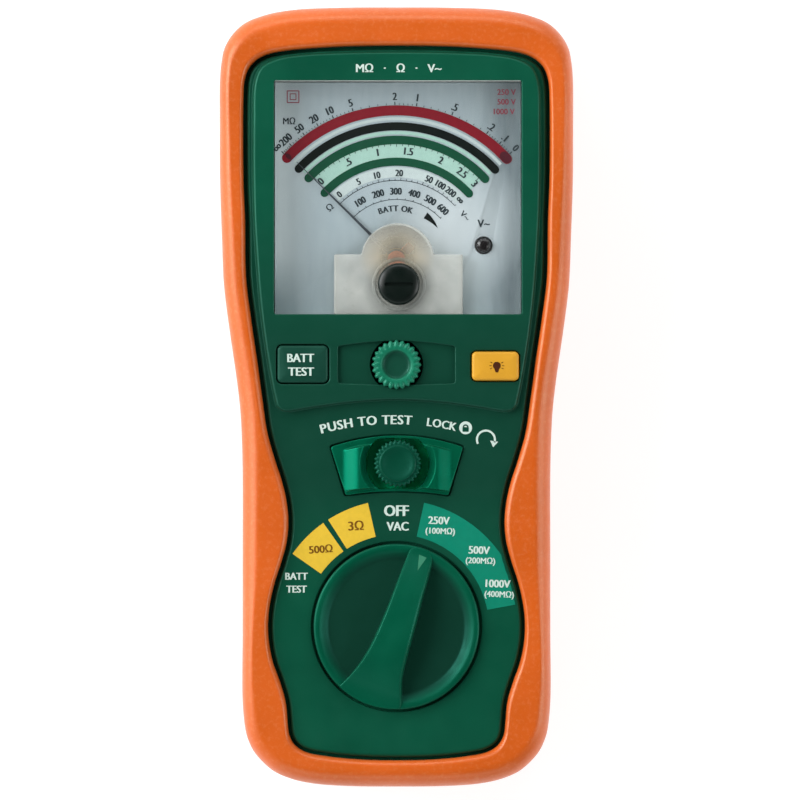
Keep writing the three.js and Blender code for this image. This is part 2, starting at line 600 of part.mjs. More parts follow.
// ---------------------------------------------------------------- upper keys
// cap with a stepped top edge, retaining flange, stem
function keyCap({ size: [width, height], radius, top }) {
  const z0 = 38.6;
  const layer = (layerWidth, layerHeight, corner, from, to) => (
    prism(roundRect([0, 0], [layerWidth, layerHeight], corner), from, to));
  return join(layer(width, height, radius, z0, top - 0.5),
    layer(width - 0.9, height - 0.9, radius - 0.3, top - 0.6, top),
    layer(width, height + 2.2, radius, z0, 40.0),
    axle(2.0, 31.5, 39, 16));
}
const keySwitch = () => join(slab(3, 3, Z_ON_BOARD, 29.2), axle(1.6, 29, 30.2, 14));

for (const key of KEYS) {
  addPiece(key.name, keyCap(key), key.material, addFrame(group, key.at));
  addPiece(key.switchName, keySwitch(), 'black_plastic', addFrame(group, key.at));
}

// ---------------------------------------------------------------- test knob
// section across the sloping flanks of the surround: [x, z]
const FLANKS = [[-15.2, 42.0], [-14.2, 43.2], [-9.4, 45.2], [9.9, 45.2], [14.7, 43.2], [15.7, 42.0]];

// surround: flange, sloping flanks, well
function testBezel() {
  const flanks = prismY(FLANKS, -27, -8).intersect(bezelPrism(-0.3, 41, Z_ABOVE));
  const shell = rodZ(TEST.shellRadius, 36.6, 43, ...TEST.at).intersect(bezelPrism(0, 36, 44));
  const well = rodZ(TEST.wellRadius, 37.4, Z_ABOVE, ...TEST.at, 40)
    .intersect(bezelPrism(-0.55, 37, Z_ABOVE));
  return cut(join(bezelPrism(0, 41.5, 43.2), flanks, shell),
    well, rodZ(2.9, 36, 38, ...TEST.at, 20));
}
function testKnob() {
  const disc = knurl(TEST.radius - 0.55, TEST.radius, 28, [0, 0.35, 0.5, 0.85]);
  return cut(join(prism(disc, 40.3, 45.6), axle(5.2, 45.4, 46.2, 28)), axle(2.7, 40, 43.6, 20));
}
const testPlunger = () => join(axle(2.4, 28.3, 43.2, 20), axle(4.2, 35.0, 36.2, 24));

// return spring under the collar
function testSpring() {
  const [turns, steps, radius, wireRadius] = [3.5, 42, 3.35, 0.35];
  const [z0, z1] = [29.8, 34.3];
  const helix = Array.from({ length: steps + 1 }, (_, i) => new THREE.Vector3(
    ...polar(radius, 2 * Math.PI * turns * i / steps), z0 + (z1 - z0) * i / steps));
  const wire = new THREE.Shape(toVectors(circle(wireRadius, 0, 0, 6)));
  return toSolid(new THREE.ExtrudeGeometry(wire, {
    steps, bevelEnabled: false, extrudePath: new THREE.CatmullRomCurve3(helix),
  }));
}
const testSwitch = () => cut(slab(7, 6, Z_ON_BOARD, 29.1), axle(2.8, 25, 30, 20));

addPiece('test_bezel', testBezel(), 'bright_green');
const test = addFrame(group, TEST.at);
addPiece('test_knob', testKnob(), 'knob_green', test);
addPiece('test_plunger', testPlunger(), 'white_plastic', test);
addPiece('test_spring', testSpring(), 'steel', test);
addPiece('test_switch', testSwitch(), 'black_plastic', test);

// ---------------------------------------------------------------- range switch
// plan of the pointer grip, tip towards +Y: [x, y]
const GRIP = [
  [1.2, 20.6], [2.2, 18.6], [2.7, 15.0], [3.1, 10.0], [4.5, 0.0], [5.4, -7.5],
  [6.3, -11.8], [7.8, -15.8], [7.0, -18.6], [0, -20.4], [-7.7, -18.8], [-5.8, -14.8],
  [-4.2, -8.0], [-3.9, 1.0], [-4.3, 13.8], [-4.4, 18.6], [-2.8, 20.4],
].reverse();
// side view of the grip, arched from rim to rim: [y, z]
const GRIP_ARCH = [
  [-20.6, 42.5], [-20.6, 44.0], [-17.5, 46.0], [-12.0, 48.3], [-5.0, 49.8], [0, KNOB.top],
  [6.0, 49.7], [12.0, 48.3], [17.0, 46.2], [20.6, 44.2], [20.6, 42.5],
].reverse();

// disc with a chamfered rim, hollowed either side of the arched grip
function functionKnob() {
  const level = (inset, z) => [circle(KNOB.radius - inset, 0, 0, 48), z];
  const disc = loft([level(0, 41.6), level(0, 43.9), level(0.7, 44.5)]);
  const grip = prism(GRIP, 42, Z_ABOVE);
  const pockets = cut(axle(17.4, 42.7, Z_ABOVE, 48), grip);
  const ridge = grip.intersect(prismX(GRIP_ARCH, -12, 12));
  return cut(join(cut(disc, pockets), ridge), axle(2.8, 41, 47.2, 20));
}
const switchRotor = () => cut(prism(knurl(12.4, 13.0, 16), 28.0, 30.0), axle(2.8, 27, 31, 18));
const detentSpring = () => cut(
  join(axle(7.0, 30.3, 30.8, 24), slab(1.6, 12.0, 30.3, 30.8)), axle(3.2, 30, 31, 18));

const rangeSwitch = addFrame(group, KNOB.at, 0, KNOB_REST);
addPiece('function_knob', functionKnob(), 'knob_green', rangeSwitch);
addPiece('switch_shaft', axle(2.5, 27.2, 46.8, 18), 'white_plastic', rangeSwitch);
addPiece('switch_rotor', switchRotor(), 'white_plastic', rangeSwitch);
addPiece('detent_spring', detentSpring(), 'steel', rangeSwitch);

// ---------------------------------------------------------------- board and its parts
// follows the case wall, cut straight at both ends
const mainBoard = () => outerPrism(CASE_INNER_INSET + 0.7, Z_BOARD, Z_BOARD_TOP)
  .intersect(box(-50, -85, 20, 50, 72, 30));
// two end blocks, a narrow block joining them, a wider block between them
const transformer = () => join(
  box(-27, 36, 11, -3, 41, 23.3), box(-27, 51, 11, -3, 56, 23.3),
  box(-20, 39, 14, -10, 53, 21), box(-24, 41.5, 10.2, -6, 50.5, 23.0));
// body and a cap at each end
function fuse() {
  const part = (radius, x0, x1) => rodX(radius, x0, x1, 66, 19.5, 14);
  return join(part(2.4, -10, 10), part(2.8, -10.4, -5.5), part(2.8, 5.5, 10.4));
}
addPiece('main_board', mainBoard(), 'board');
addPiece('hv_transformer', transformer(), 'ferrite');
addPiece('hv_capacitor', rodY(6.4, 34, 60, 14, 15.6, 20), 'black_plastic');
addPiece('fuse', fuse(), 'steel');

// ---------------------------------------------------------------- batteries
const COLUMNS = [0, 1, 2, 3];
const columnX = (column) => (column - 1.5) * CELL.pitch;
const CELLS_TOP = CELL.y0 + 2 * CELL.length + CELL.endGap;

// open towards the back
function batteryTray() {
  const { halfWidth, y0, y1, z0, z1, wall, roof } = TRAY;
  const innerHalf = halfWidth - wall;
  return cut(box(-halfWidth, y0, z0, halfWidth, y1, z1),
    box(-innerHalf, y0 + wall, 7, innerHalf, y1 - wall, z1 - roof));
}
// standing on its flat end, nub up
function aaCell() {
  const { radius, length } = CELL;
  const shoulder = length - 1.1;
  const nubR = 2.7;
  return lathe([[0, 0], [radius, 0], [radius, length - 1.6], [radius - 0.5, shoulder],
    [nubR, shoulder], [nubR, length], [0, length]], 14);
}
const contactStrip = (y0, y1) => box(-29.8, y0, 9, 29.8, y1, 21.5);
const upperContacts = () => join(contactStrip(CELLS_TOP + 1.8, CELLS_TOP + 2.5),
  ...COLUMNS.map((column) => (
    rodY(2.4, CELLS_TOP + 0.3, CELLS_TOP + 2, columnX(column), CELL.z, 12))));

addPiece('battery_tray', batteryTray(), 'black_plastic');
for (const column of COLUMNS) {
  // alternate columns are turned end for end
  const nubUp = column % 2 === 0;
  for (const row of [0, 1]) {
    const low = CELL.y0 + row * (CELL.length + CELL.endGap);
    const cell = addPiece(`aa_cell_${2 * column + row + 1}`, aaCell(), 'cell');
    cell.rotation.x = nubUp ? -Math.PI / 2 : Math.PI / 2;
    cell.position.set(columnX(column), nubUp ? low : low + CELL.length, CELL.z);
  }
}
addPiece('contact_strip_lower', contactStrip(-83.5, -82.9), 'brass');
addPiece('contact_strip_upper', upperContacts(), 'brass');

// ---------------------------------------------------------------- input jacks
const JACKS = [['left', -JACK.pitch], ['middle', 0], ['right', JACK.pitch]];

function terminalBlock() {
  const { halfWidth, y0, y1, z0, z1 } = BLOCK;
  return cut(box(-halfWidth, y0, z0, halfWidth, y1, z1),
    ...JACKS.map(([, x]) => rodY(JACK.bore, 78, 99, x, JACK.z)));
}
const jackContact = (x) => cut(
  rodY(2.9, 78.3, 95.0, x, JACK.z, 20), rodY(2.05, 80, 99, x, JACK.z, 20));

addPiece('terminal_block', terminalBlock(), 'black_plastic');
for (const [side, x] of JACKS) addPiece(`jack_contact_${side}`, jackContact(x), 'brass');

export default group;
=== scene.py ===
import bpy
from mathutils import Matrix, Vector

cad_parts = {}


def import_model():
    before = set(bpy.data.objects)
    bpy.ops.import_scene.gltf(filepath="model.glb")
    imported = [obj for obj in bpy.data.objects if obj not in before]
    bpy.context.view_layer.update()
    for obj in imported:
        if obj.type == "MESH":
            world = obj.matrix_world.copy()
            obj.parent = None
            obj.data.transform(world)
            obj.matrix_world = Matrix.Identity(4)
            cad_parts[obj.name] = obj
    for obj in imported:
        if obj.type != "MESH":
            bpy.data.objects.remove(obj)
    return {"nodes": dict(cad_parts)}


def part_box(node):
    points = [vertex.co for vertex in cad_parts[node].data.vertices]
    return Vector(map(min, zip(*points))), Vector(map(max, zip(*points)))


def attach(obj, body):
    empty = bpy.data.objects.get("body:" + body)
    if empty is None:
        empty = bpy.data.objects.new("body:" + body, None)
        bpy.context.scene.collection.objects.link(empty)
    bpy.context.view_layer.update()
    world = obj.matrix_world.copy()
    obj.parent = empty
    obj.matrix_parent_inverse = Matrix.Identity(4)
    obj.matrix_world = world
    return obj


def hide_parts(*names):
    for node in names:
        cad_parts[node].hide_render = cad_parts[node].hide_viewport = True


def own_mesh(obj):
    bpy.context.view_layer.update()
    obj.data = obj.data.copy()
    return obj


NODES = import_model()["nodes"]
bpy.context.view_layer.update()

import math
from functools import cache

import bmesh
import bpy
import numpy as np
from mathutils import Vector
from mathutils.geometry import tessellate_polygon

MM = 0.001

# ------------------------------------------------------------ driving sizes, mm
# Outlines seen from the front, top to bottom: (y, half width)
HOLSTER_OUTLINE = [
    (100.0, 0), (99.95, 12.5), (99.5, 24.9), (98.7, 30.9), (97.9, 34.1), (96.4, 38.1),
    (94.8, 40.4), (92.5, 42.5), (89.4, 44.2), (86.0, 44.9), (81.7, 45.3), (68.0, 45.35),
    (55.9, 45.3), (40.5, 44.8), (30.2, 44.4), (25.0, 43.9), (14.7, 42.5), (4.4, 41.0),
    (-3.5, 40.1), (-11.1, 39.7), (-20.0, 39.5), (-40.0, 39.5), (-60.0, 39.5), (-78.1, 39.5),
    (-85.8, 38.7), (-88.4, 37.9), (-91.0, 36.6), (-93.5, 34.5), (-96.1, 31.4), (-98.0, 27.0),
    (-99.2, 21.5), (-99.85, 13.0), (-100.0, 0)]
FACE_OUTLINE = [
    (90.0, 0), (89.85, 12.0), (89.4, 20.5), (88.7, 28.3), (87.9, 32.6), (86.6, 35.5),
    (84.4, 37.7), (81.0, 38.9), (76.5, 39.2), (55.9, 39.2), (45.6, 38.8), (30.2, 38.5),
    (19.8, 37.2), (9.5, 35.7), (-0.8, 34.3), (-9.0, 33.1), (-16.2, 31.1), (-21.4, 29.4),
    (-26.5, 28.2), (-31.7, 27.7), (-36.9, 28.1), (-42.0, 29.4), (-47.2, 31.1), (-52.3, 32.3),
    (-57.5, 32.9), (-62.6, 32.7), (-67.8, 31.7), (-72.9, 29.9), (-78.1, 28.4), (-83.2, 27.9),
    (-86.5, 27.5), (-89.0, 26.2), (-90.9, 23.4), (-92.1, 17.5), (-92.9, 9.0), (-93.1, 0)]
PLATEAU_OUTLINE = [
    (88.3, 0), (88.1, 14.0), (87.5, 25.0), (86.4, 31.0), (84.4, 34.6), (80.5, 36.3),
    (70.0, 36.7), (56.0, 36.7), (45.0, 36.4), (35.0, 35.8), (25.0, 35.0), (15.0, 33.8),
    (5.0, 32.2), (0.5, 31.3), (-2.6, 30.4), (-3.6, 28.8), (-2.6, 21.0), (-1.4, 12.0), (-0.7, 0)]
OUTLINE_POINTS = 640
Z_FACE, Z_PLATEAU = 42.5, 44.2
Z_DIAL = 35.8
WINDOW, WINDOW_SIZE = (0.35, 51.1), (63.3, 59.8)
PIVOT = (0.0, 35.2)
NEEDLE_REST = 45.5  # degrees
ZERO_SCREW = (0.6, 28.9)
LAMP_X = 22.4
ZERO_KNOB = (0.0, 8.25)
KEY_LEFT, KEY_RIGHT = (-24.0, 8.4), (25.3, 7.9)
KEY_LEFT_TOP, KEY_RIGHT_TOP = 44.7, 45.4
TEST = (0.3, -17.0)
RANGE_KNOB = (0.0, -58.8)
RANGE_KNOB_TURN = -22.5  # degrees
# Bowed edges of the test surround: x at the start, x at the end, y at both ends, bow
SURROUND_TOP = (17.1, -16.9, -12.8, 2.9)
SURROUND_LOW = (-13.0, 13.3, -25.2, 1.1)
# Printing: thickness, gap under it, and height of a layer printed over another
INK, INK_GAP, OVERPRINT, DIAL_OVERPRINT = 0.04, 0.012, 0.045, 0.05


# ------------------------------------------------------------ plans: (points, outward normals)
def with_normals(points):
    tangent = np.roll(points, -1, 0) - np.roll(points, 1, 0)
    tangent /= np.linalg.norm(tangent, axis=1)[:, None]
    return points, np.stack([tangent[:, 1], -tangent[:, 0]], 1)


def outline(rows, count):
    """Smooth closed plan through (y, half width) rows, counter-clockwise from the top centre."""
    right = [(half, y) for y, half in rows]
    left = [(-half, y) for y, half in rows[1:-1]][::-1]
    knots = np.array(right + left, float)
    total = len(knots)
    part = np.linspace(0, 1, 24, endpoint=False)[:, None]
    curve = []
    for i in range(total):
        before, start, end, after = (knots[(i + k) % total] for k in (-1, 0, 1, 2))
        # centripetal Catmull-Rom: parameter steps are roots of the distances
        gap_in, gap, gap_out = (np.sqrt(np.linalg.norm(step))
                                for step in (start - before, end - start, after - end))
        leave = ((start - before) / gap_in - (end - before) / (gap_in + gap)
                 + (end - start) / gap) * gap
        arrive = ((end - start) / gap - (after - start) / (gap + gap_out)
                  + (after - end) / gap_out) * gap
        curve.append(start + leave * part
                     + (-3 * start + 3 * end - 2 * leave - arrive) * part ** 2
                     + (2 * start - 2 * end + leave + arrive) * part ** 3)
    curve = np.concatenate(curve + [knots[:1]])
    steps = np.linalg.norm(np.diff(curve, axis=0), axis=1)
    length = np.concatenate([[0], np.cumsum(steps)])
    stops = np.linspace(0, length[-1], count, endpoint=False)
    points = np.stack([np.interp(stops, length, curve[:, k]) for k in (0, 1)], 1)
    return with_normals(np.concatenate([points[:1], points[1:][::-1]]))


def circle(radius, centre=(0, 0), count=96):
    angles = np.linspace(0, 2 * np.pi, count, endpoint=False)
    normals = np.stack([np.cos(angles), np.sin(angles)], 1)
    return np.array(centre) + normals * radius, normals


def rounded_rect(x, y, width, height, radius, steps=8):
    points, normals = [], []
    for side_x, side_y, first in ((1, 1, 0), (-1, 1, 90), (-1, -1, 180), (1, -1, 270)):
        for i in range(steps + 1):
            angle = math.radians(first + 90 * i / steps)
            normal = (math.cos(angle), math.sin(angle))
            normals.append(normal)
            points.append((x + side_x * (width / 2 - radius) + radius * normal[0],
                           y + side_y * (height / 2 - radius) + radius * normal[1]))
    return np.array(points), np.array(normals)


def round_poly(corners, radius, steps=5):
    """Counter-clockwise polygon with its sharp corners rounded."""
    corners = [np.array(corner, float) for corner in corners]
    out = []
    for i, corner in enumerate(corners):
        back, ahead = corners[i - 1] - corner, corners[(i + 1) % len(corners)] - corner
        back_length, ahead_length = np.linalg.norm(back), np.linalg.norm(ahead)
        back, ahead = back / back_length, ahead / ahead_length
        angle = math.acos(float(np.clip(back @ ahead, -1, 1)))
        if angle > math.radians(160):
            out.append(corner)
            continue
        reach = min(radius / math.tan(angle / 2), 0.45 * back_length, 0.45 * ahead_length)
        start, end = corner + back * reach, corner + ahead * reach
        for k in range(steps + 1):
            part = k / steps
            out.append((1 - part) ** 2 * start + 2 * part * (1 - part) * corner
                       + part * part * end)
    return with_normals(np.array(out))


def offset(plan, distance):
    return plan[0] + plan[1] * distance


def densify(points, step):
    points = np.asarray(points, float)
    out = []
    for start, end in zip(points, np.roll(points, -1, 0)):
        parts = max(1, int(np.linalg.norm(end - start) / step))
        out += [start + (end - start) * k / parts for k in range(parts)]
    return np.array(out)


def bowed(start, end, y, bow, steps):
    """Points of a shallow parabola between two ends at the same y."""
    return [(start + (end - start) * k / steps, y + bow * 4 * (k / steps) * (1 - k / steps))
            for k in range(steps + 1)]


def bowed_y(x, edge):
    start, end, y, bow = edge
    part = (x - start) / (end - start)
    return y + bow * 4 * part * (1 - part)


def polar(centre, radius, degrees):
    """Point at an angle measured clockwise from +Y."""
    angle = math.radians(degrees)
    return centre[0] + radius * math.sin(angle), centre[1] + radius * math.cos(angle)


def band(centre, radius, width, start, end, caps=True, steps=64):
    """Points of an arc band, with or without round ends; degrees clockwise from +Y."""
    half = width / 2

    def arc(arc_radius, first, last):
        return [polar(centre, arc_radius, first + (last - first) * i / steps)
                for i in range(steps + 1)]

    def cap(degrees, first):
        middle = polar(centre, radius, degrees)
        return [polar(middle, half, degrees + first + 180 * k / 8)
                for k in range(1, 8)] if caps else []

    points = arc(radius + half, start, end) + cap(end, 0)
    points += arc(radius - half, end, start) + cap(start, 180)
    return np.array(points[::-1])


def stroke(start, end, width):
    start, end = np.array(start, float), np.array(end, float)
    along = (end - start) / np.linalg.norm(end - start)
    side = np.array([-along[1], along[0]]) * width / 2
    return np.array([start - side, end - side, end + side, start + side])


def ease(part):
    part = np.clip(part, 0, 1)
    return part * part * (3 - 2 * part)


# ------------------------------------------------------------ layers: lists of (points, z)
def quarter(steps):
    """Angles from 0 to 90 degrees, in radians."""
    return [math.pi / 2 * i / steps for i in range(steps + 1)]


def round_onto(plan, grow, z, rise, steps):
    """Quarter round from the plan offset by grow, at z, to the plan itself, at z + rise."""
    return [(offset(plan, grow * (1 - math.sin(angle))), z + rise * (1 - math.cos(angle)))
            for angle in quarter(steps)]


def round_off(plan, grow, z, rise, steps):
    """Quarter round from the plan itself, at z + rise, to the plan offset by grow, at z."""
    return [(offset(plan, grow * (1 - math.cos(angle))), z + rise * (1 - math.sin(angle)))
            for angle in quarter(steps)]


def chamfered(plan, bottom, top, grow):
    """Straight wall whose two edges are bevelled, inwards if grow is negative."""
    bevel = abs(grow)
    return [(offset(plan, grow), bottom), (plan[0], bottom + bevel), (plan[0], top - bevel),
            (offset(plan, grow), top)]


def turned(profile, centre, count):
    """Layers of a turned part from its (radius, z) profile."""
    return [(circle(radius, centre, count)[0], z) for radius, z in profile]


# ------------------------------------------------------------ mesh building
class Shell:
    """Skins in mm: rings of points joined by quads, and flat fills with holes.

    New faces take the material index held in slot.
    """

    def __init__(self):
        self.verts, self.faces, self.slots = [], [], []
        self.slot = 0

    def section(self, points):
        first = len(self.verts)
        self.verts += [tuple(point) for point in points]
        return list(range(first, len(self.verts)))

    def face(self, corners):
        self.faces.append(tuple(corners))
        self.slots.append(self.slot)

    def add(self, points, faces):
        first = len(self.verts)
        self.section(points)
        for face in faces:
            self.face(first + k for k in face)

    def ring(self, points, z):
        heights = np.broadcast_to(np.asarray(z, float), (len(points),))
        return self.section((x, y, height) for (x, y), height in zip(points, heights))

    def bridge(self, first, second):
        for i in range(len(first)):
            j = (i + 1) % len(first)
            self.face((first[i], first[j], second[j], second[i]))

    def chain(self, rings):
        for first, second in zip(rings, rings[1:]):
            self.bridge(first, second)
        return rings

    def fill(self, outer, holes=()):
        loops = [outer, *holes]
        corners = [i for loop in loops for i in loop]
        flat_loops = [[Vector((*self.verts[i][:2], 0)) for i in loop] for loop in loops]
        for triangle in tessellate_polygon(flat_loops):
            self.face(corners[k] for k in triangle)

    def loft(self, layers):
        return self.chain([self.ring(points, z) for points, z in layers])

    def solid(self, layers):
        """Loft with both ends filled."""
        rings = self.loft(layers)
        self.fill(rings[0])
        self.fill(rings[-1])
        return self

    def prism(self, points, bottom, top):
        return self.solid([(points, bottom), (points, top)])

    def flat(self, points, z, slot=0):
        """Printed patch."""
        self.slot = slot
        self.prism(points, z, z + INK)

    def tube(self, sections):
        """Sections of 3D points joined in a row, with both ends closed."""
        rings = self.chain([self.section(points) for points in sections])
        self.face(rings[0])
        self.face(rings[-1])
        return self

    def place(self, turn=0.0, at=(0.0, 0.0)):
        """Turn about Z by degrees, then move."""
        cos, sin = math.cos(math.radians(turn)), math.sin(math.radians(turn))
        self.verts = [(x * cos - y * sin + at[0], x * sin + y * cos + at[1], z)
                      for x, y, z in self.verts]
        return self


def add_object(name, data):
    ob = bpy.data.objects.new(name, data)
    bpy.context.scene.collection.objects.link(ob)
    return ob


def new_mesh(name, shell):
    mesh = bpy.data.meshes.new(name)
    mesh.from_pydata((np.array(shell.verts, float) * MM).tolist(), [], shell.faces)
    return mesh


def clean(mesh):
    """Merge doubled points, turn the faces outwards and shade smooth."""
    bm = bmesh.new()
    bm.from_mesh(mesh)
    bmesh.ops.remove_doubles(bm, verts=bm.verts, dist=1e-7)
    bmesh.ops.dissolve_degenerate(bm, edges=bm.edges, dist=1e-8)
    bmesh.ops.recalc_face_normals(bm, faces=bm.faces)
    bm.to_mesh(mesh)
    bm.free()
    mesh.shade_smooth()
    mesh.update()


def piece(name, shell, materials, body="tester", slot=None, replaces=None, sharp=40,
          weighted=True):
    """Object that rides on a body. Edges over sharp degrees stay sharp; 0 shades it flat."""
    mesh = new_mesh(name, shell)
    for material in materials:
        mesh.materials.append(material)
    mesh.polygons.foreach_set("material_index", shell.slots)
    clean(mesh)
    if sharp:
        mesh.set_sharp_from_angle(angle=math.radians(sharp))
    else:
        mesh.shade_flat()
    mesh.update()
    ob = add_object(name, mesh)
    if weighted:
        normals = ob.modifiers.new("weighted", "WEIGHTED_NORMAL")
        normals.keep_sharp = True
        normals.weight = 70
    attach(ob, body)
    if replaces:
        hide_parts(replaces)
    return ob


def printed_piece(name, shell, inks, body="tester"):
    piece(name, shell, inks, body=body, sharp=0, weighted=False)


def carve(ob, *cutters, operation="DIFFERENCE"):
    """Cut closed shells out of a piece, or join them to it, and apply the result."""
    for cutter in cutters:
        cutter_mesh = new_mesh("cutter", cutter)
        clean(cutter_mesh)
        tool = add_object("cutter", cutter_mesh)
        boolean = ob.modifiers.new("cut", "BOOLEAN")
        boolean.operation = operation
        boolean.object = tool
        boolean.solver = "EXACT"
        # the weighted normals stay a live modifier, so they are left out of the applied mesh
        ob.modifiers["weighted"].show_viewport = False
        bpy.context.view_layer.update()
        depsgraph = bpy.context.evaluated_depsgraph_get()
        result = bpy.data.meshes.new_from_object(ob.evaluated_get(depsgraph))
        ob.modifiers.remove(boolean)
        before = ob.data
        for material in before.materials:
            if material.name not in [kept.name for kept in result.materials if kept]:
                result.materials.append(material)
        ob.data = result
        ob.modifiers["weighted"].show_viewport = True
        bpy.data.objects.remove(tool)
        bpy.data.meshes.remove(before)
    ob.data.shade_smooth()
    ob.data.set_sharp_from_angle(angle=math.radians(35))


# ------------------------------------------------------------ lettering
def glyphs(text, size):
    """Points (mm) and faces of a line of plain lettering, centred on the origin."""
    curve = bpy.data.curves.new("glyph", "FONT")
    curve.body = text
    curve.size = size
    curve.align_x = curve.align_y = "CENTER"
    curve.extrude = INK / 2
    curve.resolution_u = 3
    ob = add_object("glyph", curve)
    bpy.context.view_layer.update()
    depsgraph = bpy.context.evaluated_depsgraph_get()
    mesh = bpy.data.meshes.new_from_object(ob.evaluated_get(depsgraph))
    points = np.array([vertex.co[:] for vertex in mesh.vertices], float).reshape(-1, 3)
    faces = [tuple(polygon.vertices) for polygon in mesh.polygons]
    bpy.data.objects.remove(ob)
    bpy.data.curves.remove(curve)
    bpy.data.meshes.remove(mesh)
    # a character that the font lacks may give no points
    if len(points):
        for axis in (1, 0):
            points[:, axis] -= (points[:, axis].min() + points[:, axis].max()) / 2
    return points, faces


@cache
def advance(letter):
    """Advance width of one character at size 1."""
    def width(text):
        points, _ = glyphs(text, 1.0)
        return points[:, 0].max() - points[:, 0].min()
    return width("I" + letter + "I") - width("II")


def put_text(shell, text, size, x, y, z, turn, weight, slot, squeeze=1.0):
    """Lettering whose strokes are widened by copies side by side, each a hair above the last."""
    points, faces = glyphs(text, size)
    cos, sin = math.cos(math.radians(turn)), math.sin(math.radians(turn))
    across, up = points[:, 0] * squeeze, points[:, 1]
    copies = max(2, int(math.ceil(weight / 0.12)) + 1)
    shell.slot = slot
    for k in range(copies):
        shift = -weight / 2 + weight * k / (copies - 1)
        shell.add(np.stack([x + shift * cos + across * cos - up * sin,
                            y + shift * sin + across * sin + up * cos,
                            z + 0.004 * k + INK / 2 + points[:, 2]], 1), faces)


def put_labels(shell, rows, z):
    """Rows of (text, size, x, y, turn, weight, slot, squeeze)."""
    for text, size, x, y, *style in rows:
        put_text(shell, text, size, x, y, z, *style)


def put_arc_text(shell, text, size, centre, radius, degrees, z, weight, slot=0, squeeze=1.0):
    """Lettering that stands upright on an arc, degrees clockwise from +Y."""
    x, y = polar(centre, radius, degrees)
    put_text(shell, text, size, x, y, z, -degrees, weight, slot, squeeze)


def put_arc_string(shell, text, size, centre, radius, degrees, z, weight, slot=0, squeeze=1.0,
                   track=0.0):
    """String laid letter by letter along an arc, centred on degrees."""
    widths = [advance(letter) * size * squeeze + track for letter in text]
    start = -sum(widths) / 2
    for letter, width in zip(text, widths):
        if letter != " ":
            angle = degrees + math.degrees((start + width / 2) / radius)
            put_arc_text(shell, letter, size, centre, radius, angle, z, weight, slot, squeeze)
        start += width


# ------------------------------------------------------------ shader helpers
def srgb(*rgb):
    """sRGB 0-255 to a linear colour."""
    linear = []
    for value in rgb:
        value = value / 255.0
        linear.append(value / 12.92 if value <= 0.04045 else ((value + 0.055) / 1.055) ** 2.4)
    return tuple(linear) + (1.0,)


def shade(colour, times, plus=0.0):
    return tuple(min(1, value * times + plus) for value in colour[:3]) + (1.0,)


class Graph:
    """Shader nodes of a material or a world. An input takes a value or another node's output."""

    def __init__(self, owner):
        owner.use_nodes = True
        self.tree = owner.node_tree

    def fill(self, node, inputs):
        for key, value in inputs.items():
            if isinstance(value, bpy.types.NodeSocket):
                self.tree.links.new(value, node.inputs[key])
            else:
                node.inputs[key].default_value = value

    def node(self, kind, inputs=None, **settings):
        node = self.tree.nodes.new("ShaderNode" + kind)
        for key, value in settings.items():
            setattr(node, key, value)
        self.fill(node, inputs or {})
        return node

    def axes(self, coordinates):
        return self.node("SeparateXYZ", {0: coordinates}).outputs

    def math(self, operation, first, second):
        return self.node("Math", {0: first, 1: second}, operation=operation).outputs[0]

    def vector_math(self, operation, first, second):
        node = self.node("VectorMath", {0: first, 1: second}, operation=operation)
        return node.outputs["Value"]

    def span(self, value, lo, hi, out=(0.0, 1.0), curve="LINEAR"):
        """Map lo..hi onto the pair out."""
        return self.node("MapRange", {"Value": value, "From Min": lo, "From Max": hi,
                                      "To Min": out[0], "To Max": out[1]},
                         interpolation_type=curve).outputs["Result"]


